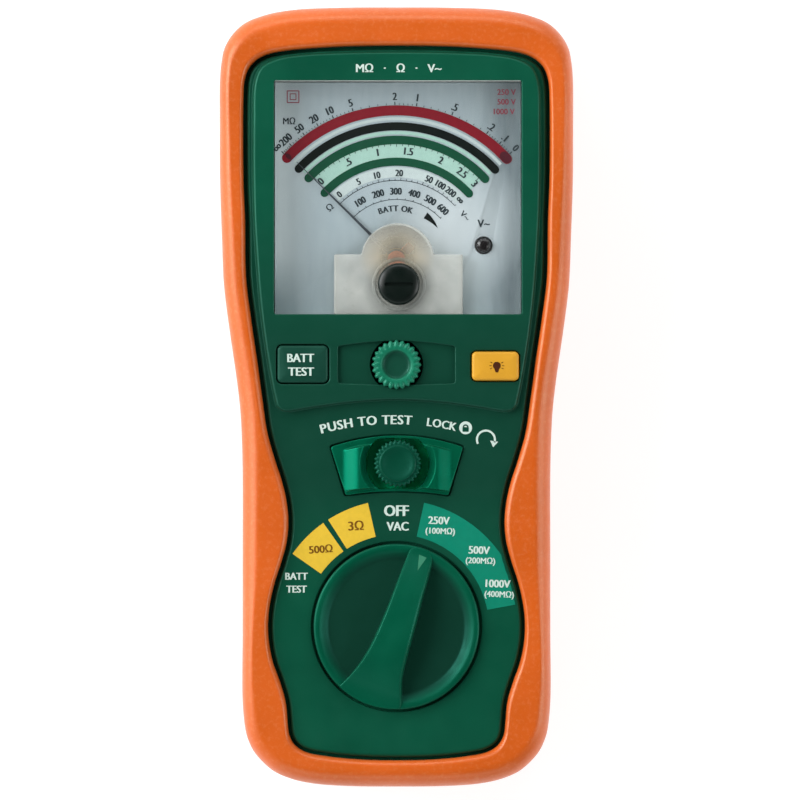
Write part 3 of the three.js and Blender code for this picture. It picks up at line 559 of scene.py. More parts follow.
class Material(Graph):
    def __init__(self, name):
        self.material = bpy.data.materials.new(name)
        super().__init__(self.material)
        self.bsdf = self.tree.nodes["Principled BSDF"]
        self.coord = self.node("TexCoord").outputs["Object"]

    def principled(self, inputs):
        self.fill(self.bsdf, inputs)

    def surface(self, shader):
        self.fill(self.tree.nodes["Material Output"], {"Surface": shader})

    def noise(self, scale, detail=3.0, rough=0.55, stretch=None):
        vector = self.coord
        if stretch:
            vector = self.node("Mapping", {"Scale": stretch, "Vector": vector}).outputs["Vector"]
        return self.node("TexNoise", {"Scale": scale, "Detail": detail, "Roughness": rough,
                                      "Vector": vector}).outputs["Fac"]

    def cloud(self, scale, lo, hi, out=(0.0, 1.0), **grain):
        """Noise mapped from lo..hi onto the pair out."""
        return self.span(self.noise(scale, **grain), lo, hi, out)

    def voronoi(self, scale, **settings):
        return self.node("TexVoronoi", {"Scale": scale, "Vector": self.coord},
                         **settings).outputs["Distance"]

    def wave(self, scale, distortion, direction):
        return self.node("TexWave", {"Scale": scale, "Distortion": distortion,
                                     "Vector": self.coord},
                         bands_direction=direction).outputs["Fac"]

    def distance(self, x, y, z):
        """Distance in metres from a point in mm."""
        return self.vector_math("DISTANCE", self.coord, (x * MM, y * MM, z * MM))

    def mix(self, factor, first, second):
        return self.node("Mix", {0: factor, 6: first, 7: second}, data_type="RGBA").outputs[2]

    def mix_shader(self, factor, first, second):
        return self.node("MixShader", {0: factor, 1: first, 2: second}).outputs[0]

    def bump(self, height, strength, depth, below=None):
        """Normal of a bump whose depth is in mm."""
        inputs = {"Strength": strength, "Distance": depth * MM, "Height": height}
        if below is not None:
            inputs["Normal"] = below
        return self.node("Bump", inputs).outputs["Normal"]

    def bumps(self, *layers):
        """Stack bumps, each (height, strength, depth in mm), on the principled surface."""
        normal = None
        for height, strength, depth in layers:
            normal = self.bump(height, strength, depth, normal)
        self.principled({"Normal": normal})

    def edge(self, radius, lo=0.02, hi=0.35):
        """1 on edges, 0 on flats, from the difference of the bevelled and the true normal."""
        bevelled = self.node("Bevel", {"Radius": radius * MM}, samples=3).outputs["Normal"]
        true = self.node("NewGeometry").outputs["Normal"]
        return self.span(self.vector_math("DOT_PRODUCT", bevelled, true), 1.0 - lo, 1.0 - hi)


# ------------------------------------------------------------ kinds of material
def moulded(name, rgb, rough, grain, vary=0.10, spec=0.35, coat=0.0, tint=(1, 1, 1), edge_wear_and_highlight=0.0,
            wear_and_highlight_rgb=None, middle=None, painted_light_and_shade_by_height=None):
    """Moulded plastic: slow colour drift, fine texture, uneven gloss, rubbed edges, which a large
    amount turns into a painted pale edge highlight.

    middle: painted shade, a darker band across Y (start, full, full, end, rgb); the last
    argument:
    painted shade where it darkens and painted light where it brightens the low surfaces (z full,
    z none, rgb). Both in mm.
    """
    mat = Material(name)
    base = srgb(*rgb)
    colour = mat.mix(mat.cloud(scale=55, lo=0.35, hi=0.65, detail=2.0),
                     shade(base, 1 - vary), shade(base, 1 + vary, 0.001))
    speck = mat.cloud(scale=1400, lo=0.55, hi=0.8, out=(0.0, 0.14), detail=2.0, rough=0.6)
    colour = mat.mix(speck, colour, shade(base, 1.35, 0.004))
    # painted shade: a darker band across Y
    if middle:
        start, full_start, full_end, end, tone = middle
        y = mat.axes(mat.coord)["Y"]
        up = mat.span(y, start * MM, full_start * MM)
        down = mat.span(y, full_end * MM, end * MM, out=(1.0, 0.0))
        colour = mat.mix(mat.math("MULTIPLY", up, down), colour, srgb(*tone))
    # painted light and shade by height: the low surfaces take another tone
    if painted_light_and_shade_by_height:
        full, none, tone = painted_light_and_shade_by_height
        z = mat.axes(mat.coord)["Z"]
        colour = mat.mix(mat.span(z, full * MM, none * MM, out=(1.0, 0.0)), colour, srgb(*tone))
    # paler rubbed edges; turned up high, this paints a pale edge highlight
    if edge_wear_and_highlight:
        patch = mat.cloud(scale=160, lo=0.35, hi=0.7, detail=3.0, rough=0.7)
        amount = mat.math("MULTIPLY", mat.edge(radius=0.45), patch)
        wear_and_highlight_rgb = wear_and_highlight_rgb or tuple(min(255, value * 1.35 + 22) for value in rgb)
        colour = mat.mix(mat.math("MULTIPLY", amount, edge_wear_and_highlight), colour, srgb(*wear_and_highlight_rgb))
    mat.principled({
        "Base Color": colour,
        "Roughness": mat.cloud(scale=240, lo=0.3, hi=0.7, out=(rough - 0.05, rough + 0.08),
                               detail=4.0, rough=0.65),
        "Specular IOR Level": spec,
        "Specular Tint": tuple(tint) + (1.0,),
        "Coat Weight": coat,
        "Coat Roughness": 0.2})
    mat.bumps((mat.noise(scale=2600, detail=2.0, rough=0.5), grain, 0.05),
              (mat.noise(scale=90, detail=1.0), 0.12, 0.15))
    return mat.material


def gloss_by_x(material, start, end, levels):
    """Specular level that runs between two levels from x = start to x = end (mm)."""
    graph = Graph(material)
    x = graph.axes(graph.node("TexCoord").outputs["Object"])["X"]
    graph.fill(graph.tree.nodes["Principled BSDF"],
               {"Specular IOR Level": graph.span(x, start * MM, end * MM, levels)})


def rubber(name, rgb):
    mat = Material(name)
    base = srgb(*rgb)
    colour = mat.mix(mat.cloud(scale=38, lo=0.3, hi=0.7, detail=3.0, rough=0.5),
                     shade(base, 0.90), shade(base, 1.06, 0.004))
    speck = mat.cloud(scale=900, lo=0.5, hi=0.8, out=(0.0, 0.20), detail=3.0, rough=0.7)
    colour = mat.mix(speck, colour, srgb(242, 168, 120))
    scuff = mat.cloud(scale=120, lo=0.60, hi=0.74, out=(0.0, 0.30), detail=4.0, rough=0.75,
                      stretch=(1.0, 0.22, 1.0))
    rubbed = mat.math("MULTIPLY", mat.edge(radius=0.9, lo=0.01, hi=0.30), scuff)
    mat.principled({
        "Base Color": mat.mix(rubbed, colour, srgb(248, 190, 150)),
        "Roughness": mat.cloud(scale=300, lo=0.3, hi=0.7, out=(0.30, 0.42), detail=4.0,
                               rough=0.7),
        "Specular IOR Level": 0.75,
        "Specular Tint": (1.0, 0.92, 0.72, 1.0),
        "Sheen Weight": 0.04,
        "Sheen Roughness": 0.4,
        "Sheen Tint": srgb(255, 220, 190),
        "Subsurface Weight": 0.04,
        "Subsurface Radius": (0.0012, 0.0005, 0.0002)})
    mat.bumps((mat.voronoi(scale=2100), 0.16, 0.05),
              (mat.noise(scale=3200, detail=2.0, rough=0.6), 0.18, 0.05),
              (mat.noise(scale=70, detail=2.0), 0.14, 0.25))
    return mat.material


def metal(name, rgb, rough, tarnish=None, metallic=1.0):
    """Metal with streaks along Z-stretched noise and patches of tarnish."""
    mat = Material(name)
    base = srgb(*rgb)
    tarnish = tarnish or tuple(value * 0.7 for value in rgb)
    streak = mat.noise(scale=420, detail=4.0, rough=0.6, stretch=(1.0, 1.0, 12.0))
    colour = mat.mix(mat.span(streak, lo=0.3, hi=0.7), shade(base, 0.82), base)
    patch = mat.cloud(scale=210, lo=0.55, hi=0.8, out=(0.0, 0.5), detail=3.0, rough=0.7)
    mat.principled({
        "Base Color": mat.mix(patch, colour, srgb(*tarnish)),
        "Metallic": metallic,
        "Roughness": mat.span(streak, lo=0.3, hi=0.7, out=(rough - 0.08, rough + 0.14))})
    mat.bumps((streak, 0.15, 0.03))
    return mat.material


def printed(name, rgb):
    """Ink of slightly uneven density with a soft tooth."""
    mat = Material(name)
    base = srgb(*rgb)
    mat.principled({
        "Base Color": mat.mix(mat.cloud(scale=700, lo=0.35, hi=0.7, detail=4.0, rough=0.7),
                              shade(base, 0.92), base),
        "Roughness": mat.cloud(scale=900, lo=0.3, hi=0.7, out=(0.44, 0.58), detail=2.0),
        "Specular IOR Level": 0.2})
    mat.bumps((mat.noise(scale=4200, detail=2.0), 0.15, 0.02))
    return mat.material


def clear_pane(name):
    """Clear window: sharp reflection from outside only, faint haze and hairline scratches."""
    mat = Material(name)
    mat.tree.nodes.remove(mat.bsdf)
    normal = mat.bump(mat.noise(scale=35, detail=1.0), strength=0.05, depth=0.05)
    see_through = mat.node("BsdfTransparent", {"Color": (0.965, 0.975, 0.975, 1)})
    haze = mat.node("BsdfDiffuse", {"Color": srgb(214, 222, 222), "Normal": normal})
    scratch = mat.cloud(scale=900, lo=0.66, hi=0.72, out=(0.03, 0.16), detail=2.0, rough=0.5,
                        stretch=(0.04, 1.0, 1.0))
    mirror = mat.node("BsdfGlossy",
                      {"Color": (1, 1, 1, 1), "Roughness": scratch, "Normal": normal})
    fresnel = mat.node("Fresnel", {"IOR": 1.45, "Normal": normal}).outputs[0]
    hazy = mat.mix_shader(
        mat.cloud(scale=45, lo=0.3, hi=0.8, out=(0.0005, 0.004), detail=3.0),
        see_through.outputs[0], haze.outputs[0])
    outside = mat.math("SUBTRACT", 1.0, mat.node("NewGeometry").outputs["Backfacing"])
    strongest_reflection = 0.07
    seen = mat.math("MINIMUM", mat.math("MULTIPLY", fresnel, 0.9), strongest_reflection)
    glazed = mat.mix_shader(mat.math("MULTIPLY", seen, outside), hazy, mirror.outputs[0])
    # light on its way to the dial passes straight through
    path = mat.node("LightPath").outputs
    clear = mat.node("BsdfTransparent", {"Color": (0.97, 0.975, 0.975, 1)}).outputs[0]
    lighting = mat.math("MAXIMUM", path["Is Shadow Ray"], path["Is Diffuse Ray"])
    mat.surface(mat.mix_shader(lighting, glazed, clear))
    return mat.material


def milky(name):
    """Translucent moulding: clearer and warmer round the pivot, paler away from it, with painted
    shade round the zero screw.
    """
    mat = Material(name)
    from_pivot = mat.distance(0.2, 36.2, 40.0)
    from_screw = mat.distance(1.0, 28.0, 40.0)
    pale = mat.mix(mat.cloud(scale=160, lo=0.3, hi=0.7, detail=3.0),
                   srgb(177, 180, 177), srgb(197, 199, 194))
    tone = mat.mix(mat.span(from_pivot, lo=4.5 * MM, hi=10.0 * MM), srgb(188, 180, 162), pale)
    # painted shade: the cover darkens round the zero screw
    painted_shade_near_screw = mat.span(from_screw, lo=6.0 * MM, hi=9.6 * MM, out=(0.55, 0.0))
    mat.principled({
        "Base Color": mat.mix(painted_shade_near_screw, tone, srgb(112, 116, 112)),
        "Roughness": mat.cloud(scale=500, lo=0.3, hi=0.7, out=(0.26, 0.42), detail=3.0)})
    mat.bumps((mat.noise(scale=800, detail=2.0), 0.12, 0.04))
    clear = mat.node("BsdfTransparent", {"Color": (0.985, 0.975, 0.955, 1)}).outputs[0]
    # opacity: grows away from the pivot, falls towards the top, drifts a little
    thin = mat.span(mat.axes(mat.coord)["Y"], lo=35.5 * MM, hi=42.0 * MM, out=(1.0, 0.62))
    near = mat.span(from_pivot, lo=1.6 * MM, hi=5.0 * MM, out=(0.16, 0.50))
    opacity = mat.math("ADD", mat.math("MULTIPLY", near, thin),
                       mat.cloud(scale=90, lo=0.3, hi=0.7, out=(-0.04, 0.04), detail=3.0))
    shadow_ray = mat.node("LightPath").outputs["Is Shadow Ray"]
    lit = mat.math("SUBTRACT", 1.0, mat.math("MULTIPLY", shadow_ray, 0.7))
    mat.surface(mat.mix_shader(mat.math("MULTIPLY", opacity, lit), clear, mat.bsdf.outputs[0]))
    return mat.material


def dial_metal(name):
    """Satin blue-grey plate with painted light and shade: paler at the left edge, a painted
    highlight beside the movement, painted shade at the right, the lower left and the top.
    """
    mat = Material(name)
    axes = mat.axes(mat.coord)

    def painted_patch(x, y, full, none):
        return mat.span(mat.distance(x, y, 35.5), full * MM, none * MM, out=(1.0, 0.0))

    # painted light: paler towards the left edge, where the frame casts its shade
    left = mat.span(axes["X"], lo=-22 * MM, hi=-29.5 * MM)
    colour = mat.mix(left, srgb(150, 163, 168), srgb(178, 188, 191))
    # painted shade: darker towards the right edge
    right = mat.span(axes["X"], lo=21 * MM, hi=29 * MM)
    colour = mat.mix(right, colour, srgb(102, 113, 118))
    # painted highlight beside the movement, then painted shade in the lower left corner
    colour = mat.mix(painted_patch(14.5, 44.5, full=4.0, none=20.0), colour, srgb(178, 186, 189))
    colour = mat.mix(painted_patch(-31.0, 20.0, full=5.0, none=17.0), colour, srgb(134, 149, 154))
    # painted shade: darker along the top
    top = mat.span(axes["Y"], lo=70 * MM, hi=82 * MM, out=(0.0, 0.45))
    colour = mat.mix(top, colour, srgb(112, 120, 124))
    fine = mat.noise(scale=620, detail=4.0, rough=0.6, stretch=(1.0, 0.15, 1.0))
    colour = mat.mix(mat.span(fine, lo=0.35, hi=0.65, out=(0.0, 0.07)), colour,
                     srgb(205, 212, 212))
    mat.principled({
        "Base Color": colour,
        "Metallic": 0.05,
        "Specular IOR Level": 0.3,
        "Roughness": mat.span(fine, lo=0.3, hi=0.7, out=(0.42, 0.54))})
    mat.bumps((fine, 0.04, 0.02), (mat.noise(scale=3000, detail=2.0), 0.08, 0.02))
    return mat.material


def wound(name):
    """Copper winding of fine parallel turns."""
    mat = Material(name)
    turns = mat.wave(scale=5200.0, distortion=0.6, direction="Z")
    mat.principled({
        "Base Color": mat.mix(turns, srgb(120, 48, 26), srgb(214, 122, 76)),
        "Metallic": 0.85,
        "Roughness": 0.34})
    mat.bumps((turns, 0.5, 0.05))
    return mat.material


def circuit(name):
    """Green board with the pattern of tracks under its coating."""
    mat = Material(name)
    cells = mat.voronoi(scale=330.0, distance="CHEBYCHEV")
    track = mat.span(cells, lo=0.30, hi=0.34)
    colour = mat.mix(track, srgb(24, 104, 62), srgb(14, 78, 46))
    patch = mat.cloud(scale=900, lo=0.4, hi=0.8, out=(0.0, 0.3), detail=3.0)
    mat.principled({
        "Base Color": mat.mix(patch, colour, srgb(40, 128, 80)),
        "Roughness": 0.34,
        "Coat Weight": 0.3})
    mat.bumps((track, 0.3, 0.04))
    return mat.material


def sleeve(name):
    """Sleeve of a cell: dark with plain coloured bands across Y."""
    mat = Material(name)
    bands = mat.wave(scale=62.0, distortion=0.0, direction="Y")
    colour = mat.mix(mat.span(bands, lo=0.72, hi=0.76), srgb(38, 42, 50), srgb(196, 148, 62))
    scuff = mat.cloud(scale=500, lo=0.5, hi=0.8, out=(0.0, 0.3), detail=4.0, rough=0.7)
    mat.principled({
        "Base Color": mat.mix(scuff, colour, srgb(90, 92, 98)),
        "Metallic": 0.35,
        "Roughness": mat.cloud(scale=400, lo=0.3, hi=0.7, out=(0.26, 0.42), detail=3.0)})
    mat.bumps((mat.noise(scale=140, detail=2.0, rough=0.5, stretch=(1, 6, 1)), 0.2, 0.1))
    return mat.material


# ------------------------------------------------------------ materials
ORANGE = rubber("holster_rubber", (214, 93, 18))
gloss_by_x(ORANGE, start=0.0, end=36.0, levels=(0.70, 0.66))
# painted shade: the face is darker across its middle
GREEN = moulded("case_green", (9, 78, 56), rough=0.34, grain=0.22, tint=(0.35, 1.0, 0.80),
                edge_wear_and_highlight=0.35, wear_and_highlight_rgb=(60, 150, 120), middle=(-52, -22, 12, 55, (16, 64, 48)))
# painted shade: the low pockets of the range knob are darker
KNOB_GREEN = moulded("knob_green", (2, 80, 56), rough=0.36, grain=0.14, tint=(0.15, 1.0, 0.75),
                     edge_wear_and_highlight=0.30, wear_and_highlight_rgb=(60, 150, 118), painted_light_and_shade_by_height=(43.0, 44.1, (17, 58, 44)))
TEST_GREEN = moulded("test_knob_green", (5, 66, 47), rough=0.38, grain=0.14,
                     tint=(0.2, 1.0, 0.78), edge_wear_and_highlight=0.3)
KEY_GREEN = moulded("key_green", (16, 62, 48), rough=0.45, grain=0.2, tint=(0.4, 1.0, 0.8),
                    edge_wear_and_highlight=0.25)
# painted light: the deep well round the test knob is brighter
BRIGHT = moulded("bright_green", (1, 80, 55), rough=0.30, grain=0.10, vary=0.06, spec=0.95,
                 tint=(0.0, 1.0, 0.58), edge_wear_and_highlight=0.25, wear_and_highlight_rgb=(60, 170, 132),
                 painted_light_and_shade_by_height=(38.5, 42.4, (12, 212, 148)))
gloss_by_x(BRIGHT, start=-4.0, end=9.0, levels=(0.84, 0.36))
# painted shade: the dish of the zero knob is darker
ZERO_GREEN = moulded("zero_knob_green", (20, 114, 85), rough=0.34, grain=0.10, vary=0.06,
                     spec=0.5, tint=(0.35, 1.0, 0.8), edge_wear_and_highlight=0.3, wear_and_highlight_rgb=(110, 200, 165),
                     painted_light_and_shade_by_height=(44.2, 45.2, (20, 72, 55)))
# painted highlight: the edge wear turned up high paints the key's pale rim
YELLOW = moulded("yellow_key", (215, 157, 44), rough=0.4, grain=0.12, vary=0.05,
                 tint=(1.0, 0.92, 0.7), edge_wear_and_highlight=0.9, wear_and_highlight_rgb=(255, 212, 136))
BLACK = moulded("black_plastic", (26, 29, 28), rough=0.42, grain=0.25, edge_wear_and_highlight=0.2)
GLOSS_BLACK = moulded("gloss_black", (7, 19, 15), rough=0.30, grain=0.12, edge_wear_and_highlight=0.15)
WHITE = moulded("white_plastic", (226, 229, 226), rough=0.45, grain=0.2, vary=0.05)
LENS = moulded("lamp_lens", (20, 16, 17), rough=0.15, grain=0.03, spec=0.5, coat=0.3)
STEEL = metal("steel", (182, 184, 186), rough=0.3)
BRASS = metal("brass", (196, 160, 88), rough=0.32, tarnish=(140, 104, 52))
BRONZE = metal("hub_bronze", (196, 104, 66), rough=0.34, tarnish=(150, 78, 46), metallic=0.35)
COPPER = wound("copper_winding")
FERRITE = moulded("ferrite", (52, 50, 52), rough=0.6, grain=0.5, vary=0.2)
BOARD = circuit("board_resist")
CELL = sleeve("cell_sleeve")
NEEDLE = moulded("needle_black", (50, 56, 62), rough=0.4, grain=0.05)
DIAL = dial_metal("dial_plate")
PANE = clear_pane("window_clear")
MILKY = milky("milky_plastic")
INK_WHITE = printed("ink_white", (206, 226, 216))
INK_YELLOW = printed("ink_yellow", (230, 191, 58))
INK_TEAL = printed("ink_teal", (2, 132, 105))
INK_BROWN = printed("ink_brown", (120, 78, 16))
INK_RED = printed("ink_red", (120, 8, 27))
INK_DARK_RED = printed("ink_dark_red", (74, 20, 32))
INK_BLACK = printed("ink_black", (1, 10, 7))
INK_GREEN = printed("ink_green", (0, 68, 45))
INK_MINT = printed("ink_mint", (150, 184, 172))
INK_PALE = printed("ink_pale", (176, 188, 187))
INK_GREY = printed("ink_grey", (40, 50, 54))
INK_INDEX = printed("ink_index", (54, 132, 102))
INK_ICON = printed("ink_icon", (74, 34, 12))
INK_SMALL = printed("ink_small_red", (142, 58, 72))

# ------------------------------------------------------------ holster
HOLSTER = outline(HOLSTER_OUTLINE, OUTLINE_POINTS)
FACE = outline(FACE_OUTLINE, OUTLINE_POINTS)


def build_holster():
    fillet, shoulder, top = 4.6, 38.4, 44.5
    back_height = 5.0
    lip, lip_drop = 1.6, 1.9
    groove_depth, groove_width = 0.85, 0.85
    groove_heights = (12.5, 17.5, 22.5, 27.5, 32.5)

    across = FACE[0] - HOLSTER[0]
    width = np.linalg.norm(across, axis=1)
    inward = across / width[:, None]
    rim = (HOLSTER[0], inward)
    # the grip grooves fade in and out along the lower part of both long sides
    y = HOLSTER[0][:, 1]
    side = ease((y + 56) / 10) * ease((-2 - y) / 10) * (np.abs(HOLSTER[0][:, 0]) > 30)

    layers = round_onto(HOLSTER, -fillet, 0.0, back_height, 8)
    for z in np.linspace(back_height, shoulder, 84)[1:]:
        groove = sum(math.exp(-((z - height) / groove_width) ** 2) for height in groove_heights)
        layers.append((offset(HOLSTER, -(groove_depth * groove * side)[:, None]), z))
    for angle in quarter(12)[1:]:
        layers.append((offset(rim, fillet * (1 - math.cos(angle))),
                       shoulder + (top - shoulder) * math.sin(angle)))
    for part in (0.25, 0.5, 0.75):
        layers.append((offset(rim, (fillet + (width - lip - fillet) * part)[:, None]), top))
    layers += round_onto((FACE[0], inward), -lip, top, -lip_drop, 8)
    layers += [(FACE[0], 40.0), (offset(HOLSTER, -3.0), 40.0), (offset(HOLSTER, -3.0), 5.9),
               (offset(HOLSTER, -3.7), 5.2)]
    shell = Shell()
    rings = shell.loft(layers)
    shell.fill(rings[-1])
    # seat of the stand with a softened edge
    seat = rounded_rect(0, -14.05, 40.6, 92.5, 0.8, 4)
    seat_rings = shell.loft(round_onto(seat, 0.5, 0.0, 0.5, 3) + [(seat[0], 4.0)])
    shell.fill(seat_rings[-1])
    shell.fill(rings[0], [seat_rings[0]])
    # the rounding of the curve must not pass the CAD box
    lowest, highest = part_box("holster")
    shell.verts = np.clip(shell.verts, np.array(lowest) / MM, np.array(highest) / MM)
    ob = piece("holster_boot", shell, [ORANGE], slot="holster_rubber", replaces="holster",
               sharp=35)

    notch = circle(9.0, (0, -59.5), 64)
    notch_shell = Shell().solid([(offset(notch, 0.6), -0.5), (notch[0], 0.6),
                                 (offset(notch, -1.0), 3.0)])
    # jack opening through the top end; its plan lies in XZ
    opening = rounded_rect(0, 15.0, 50.0, 14.0, 2.5, 6)
    jack_shell = Shell().tube([
        [(x, y, z) for x, z in offset(opening, grow)]
        for y, grow in ((90.0, 0.0), (98.6, 0.0), (99.4, 0.25), (100.6, 1.2))])
    carve(ob, notch_shell, jack_shell)

    # the flat back leaves needle-thin triangles along its nearly straight end
    bm = bmesh.new()
    bm.from_mesh(ob.data)
    thin = {edge for face in bm.faces
            if face.calc_area() < 1e-8 and face.calc_center_median().z < 1e-6
            for edge in face.edges}
    bmesh.ops.dissolve_degenerate(bm, dist=4e-6, edges=list(thin))
    bm.to_mesh(ob.data)
    bm.free()


build_holster()


def build_stand():
    """Tilt stand folded into the back: softened frame, hinge barrel, grooves at the free end."""
    bottom, top, soft = 0.4, 3.2, 0.45
    hinge_y, hinge_z = 30.0, 2.2
    shell = Shell()
    frames = []
    for plan, grow in ((rounded_rect(0, -15.0, 40.0, 90.0, 1.2, 6), -soft),
                       (rounded_rect(0, -13.0, 24.0, 58.0, 4.0, 6), soft)):
        frames.append(shell.loft(round_onto(plan, grow, bottom, soft, 4)
                                 + round_off(plan, grow, top, -soft, 4)))
    outer, inner = frames
    shell.fill(outer[0], [inner[0]])
    shell.fill(outer[-1], [inner[-1]])
    ob = piece("tilt_stand_frame", shell, [BLACK], body="stand", slot="black_plastic",
               replaces="tilt_stand", sharp=30)

    def hinge_rod(radius, half_length, count=48):
        return Shell().tube([
            [(x, hinge_y + radius * math.cos(2 * math.pi * i / count),
              hinge_z + radius * math.sin(2 * math.pi * i / count)) for i in range(count)]
            for x in (-half_length, half_length)])

    carve(ob, hinge_rod(1.6, 19.98), operation="UNION")
    grooves = [Shell().prism(rounded_rect(0, y, 24.0, 1.1, 0.5, 4)[0], 0.0, 0.95)
               for y in (-57.0, -54.6, -52.2, -49.8)]
    carve(ob, hinge_rod(1.25, 21.0), *grooves)


build_stand()


# ------------------------------------------------------------ front case
def surround_plan(grow):
    edges = []
    for (start, end, y, bow), way in ((SURROUND_TOP, 1), (SURROUND_LOW, -1)):
        edges += bowed(start + way * grow, end - way * grow, y + way * grow, bow, 24)
    return round_poly(edges, 0.9)


def well_plan(radius, inset):
    """Round well clipped by the upper and lower edge of the test surround."""
    points = []
    for i in range(144):
        angle = 2 * math.pi * i / 144
        x, y = TEST[0] + radius * math.cos(angle), TEST[1] + radius * math.sin(angle)
        highest = bowed_y(x, SURROUND_TOP) - inset
        lowest = bowed_y(x, SURROUND_LOW) + inset
        points.append((x, min(max(y, lowest), highest)))
    return with_normals(np.array(points))


def build_front():
    under = 40.3
    recess_floor, surround_seat, groove_floor, pane_seat = 43.2, 41.2, 41.3, 43.1
    shell = Shell()

    def hole(plan, z, radius, bottom):
        """Rounded edge and wall of a hole. Returns its highest and its lowest ring."""
        rings = shell.loft(round_onto(plan, radius, z, -radius, 4) + [(plan[0], bottom)])
        return rings[0], rings[-1]

    # face: rounded edge, wall, ledge, side, inside wall, underside
    face_rim = (offset(FACE, -0.9), FACE[1])
    rings = shell.loft(round_onto(face_rim, -0.9, Z_FACE, -0.9, 6) + [
        (face_rim[0], 39.7), (offset(HOLSTER, -3.9), 39.7), (offset(HOLSTER, -3.3), 39.1),
        (offset(HOLSTER, -3.3), 23.3), (offset(HOLSTER, -5.5), 23.3),
        (offset(HOLSTER, -5.5), 37.5), (offset(FACE, -3.2), 37.5), (offset(FACE, -3.2), under)])
    face_ring, under_ring = rings[0], rings[-1]
    plateau = outline(PLATEAU_OUTLINE, 420)
    rings = shell.loft(round_onto(plateau, 0.45, Z_FACE, 0.45, 4)
                       + round_off(plateau, -0.75, Z_PLATEAU, -0.75, 6))
    plateau_base, plateau_top = rings[0], rings[-1]
    # window mouth over the wider seat of the pane
    window_top, window_low = hole(rounded_rect(*WINDOW, *WINDOW_SIZE, 0.5, 5), Z_PLATEAU, 0.30,
                                  pane_seat)
    seat = rounded_rect(*WINDOW, 67.2, 63.4, 0.3, 5)[0]
    seat_low = shell.chain([window_low, shell.ring(seat, pane_seat),
                            shell.ring(seat, under)])[-1]
    # shallow barrel-shaped recess with the hole of the ohm-zero knob
    barrel = round_poly(bowed(15.0, -15.0, 13.0, 1.3, 16) + bowed(-15.0, 15.0, 3.5, -0.4, 16),
                        0.8)
    barrel_top, barrel_low = hole(barrel, Z_PLATEAU, 0.25, recess_floor)
    zero_top, zero_low = hole(circle(6.75, ZERO_KNOB), recess_floor, 0.2, under)
    shell.fill(barrel_low, [zero_top])
    left_top, left_low = hole(rounded_rect(*KEY_LEFT, 13.6, 10.2, 1.6), Z_PLATEAU, 0.35, under)
    right_top, right_low = hole(rounded_rect(*KEY_RIGHT, 12.6, 8.0, 1.5), Z_PLATEAU, 0.35, under)
    shell.fill(plateau_top, [window_top, barrel_top, left_top, right_top])
    surround_top, surround_low = hole(surround_plan(0.3), Z_FACE, 0.25, surround_seat)
    cup = well_plan(9.4, 0.0)[0]
    cup_top, cup_low = shell.loft([(cup, surround_seat), (cup, under)])
    shell.fill(surround_low, [cup_top])
    groove_top, groove_low = hole(circle(21.8, RANGE_KNOB, 160), Z_FACE, 0.3, groove_floor)
    shaft_top, shaft_low = hole(circle(3.4, RANGE_KNOB, 48), groove_floor, 0.15, under)
    shell.fill(groove_low, [shaft_top])
    shell.fill(face_ring, [plateau_base, surround_top, groove_top])
    shell.fill(under_ring, [seat_low, zero_low, left_low, right_low, cup_low, shaft_low])
    piece("front_moulding", shell, [GREEN], slot="case_green", replaces="front_case", sharp=50)


build_front()


# ------------------------------------------------------------ meter pieces
def build_pane():
    bottom, top = 41.2, 42.8
    shell = Shell()
    outer = shell.loft(chamfered(rounded_rect(*WINDOW, 66.6, 62.8, 0.8, 5), bottom, top, -0.25))
    inner = shell.loft(chamfered(circle(5.75, ZERO_SCREW), bottom, top, 0.2))
    shell.fill(outer[0], [inner[0]])
    shell.fill(outer[-1], [inner[-1]])
    piece("window_pane", shell, [PANE], slot="window", replaces="meter_window", sharp=30)


def build_zero_screw():
    x, y = ZERO_SCREW
    # radius, z
    profile = [(0.01, 43.40), (1.6, 43.38), (3.4, 43.28), (4.5, 43.05), (5.05, 42.75),
               (5.32, 42.35), (5.4, 41.9), (5.4, 40.9), (2.5, 40.9), (2.5, 38.0), (0.01, 38.0)]
    shell = Shell().solid(turned(profile, ZERO_SCREW, 96))
    ob = piece("zero_screw_boss", shell, [GLOSS_BLACK], body="mechanical_zero",
               slot="black_plastic", replaces="zero_screw")
    carve(ob, Shell().prism(rounded_rect(x, y, 7.4, 0.9, 0.4)[0], 42.4, 44.5))
    pin = Shell().prism(circle(0.6, (x, y - 1.6), 32)[0], 34.6, 38.3)
    carve(ob, pin, operation="UNION")


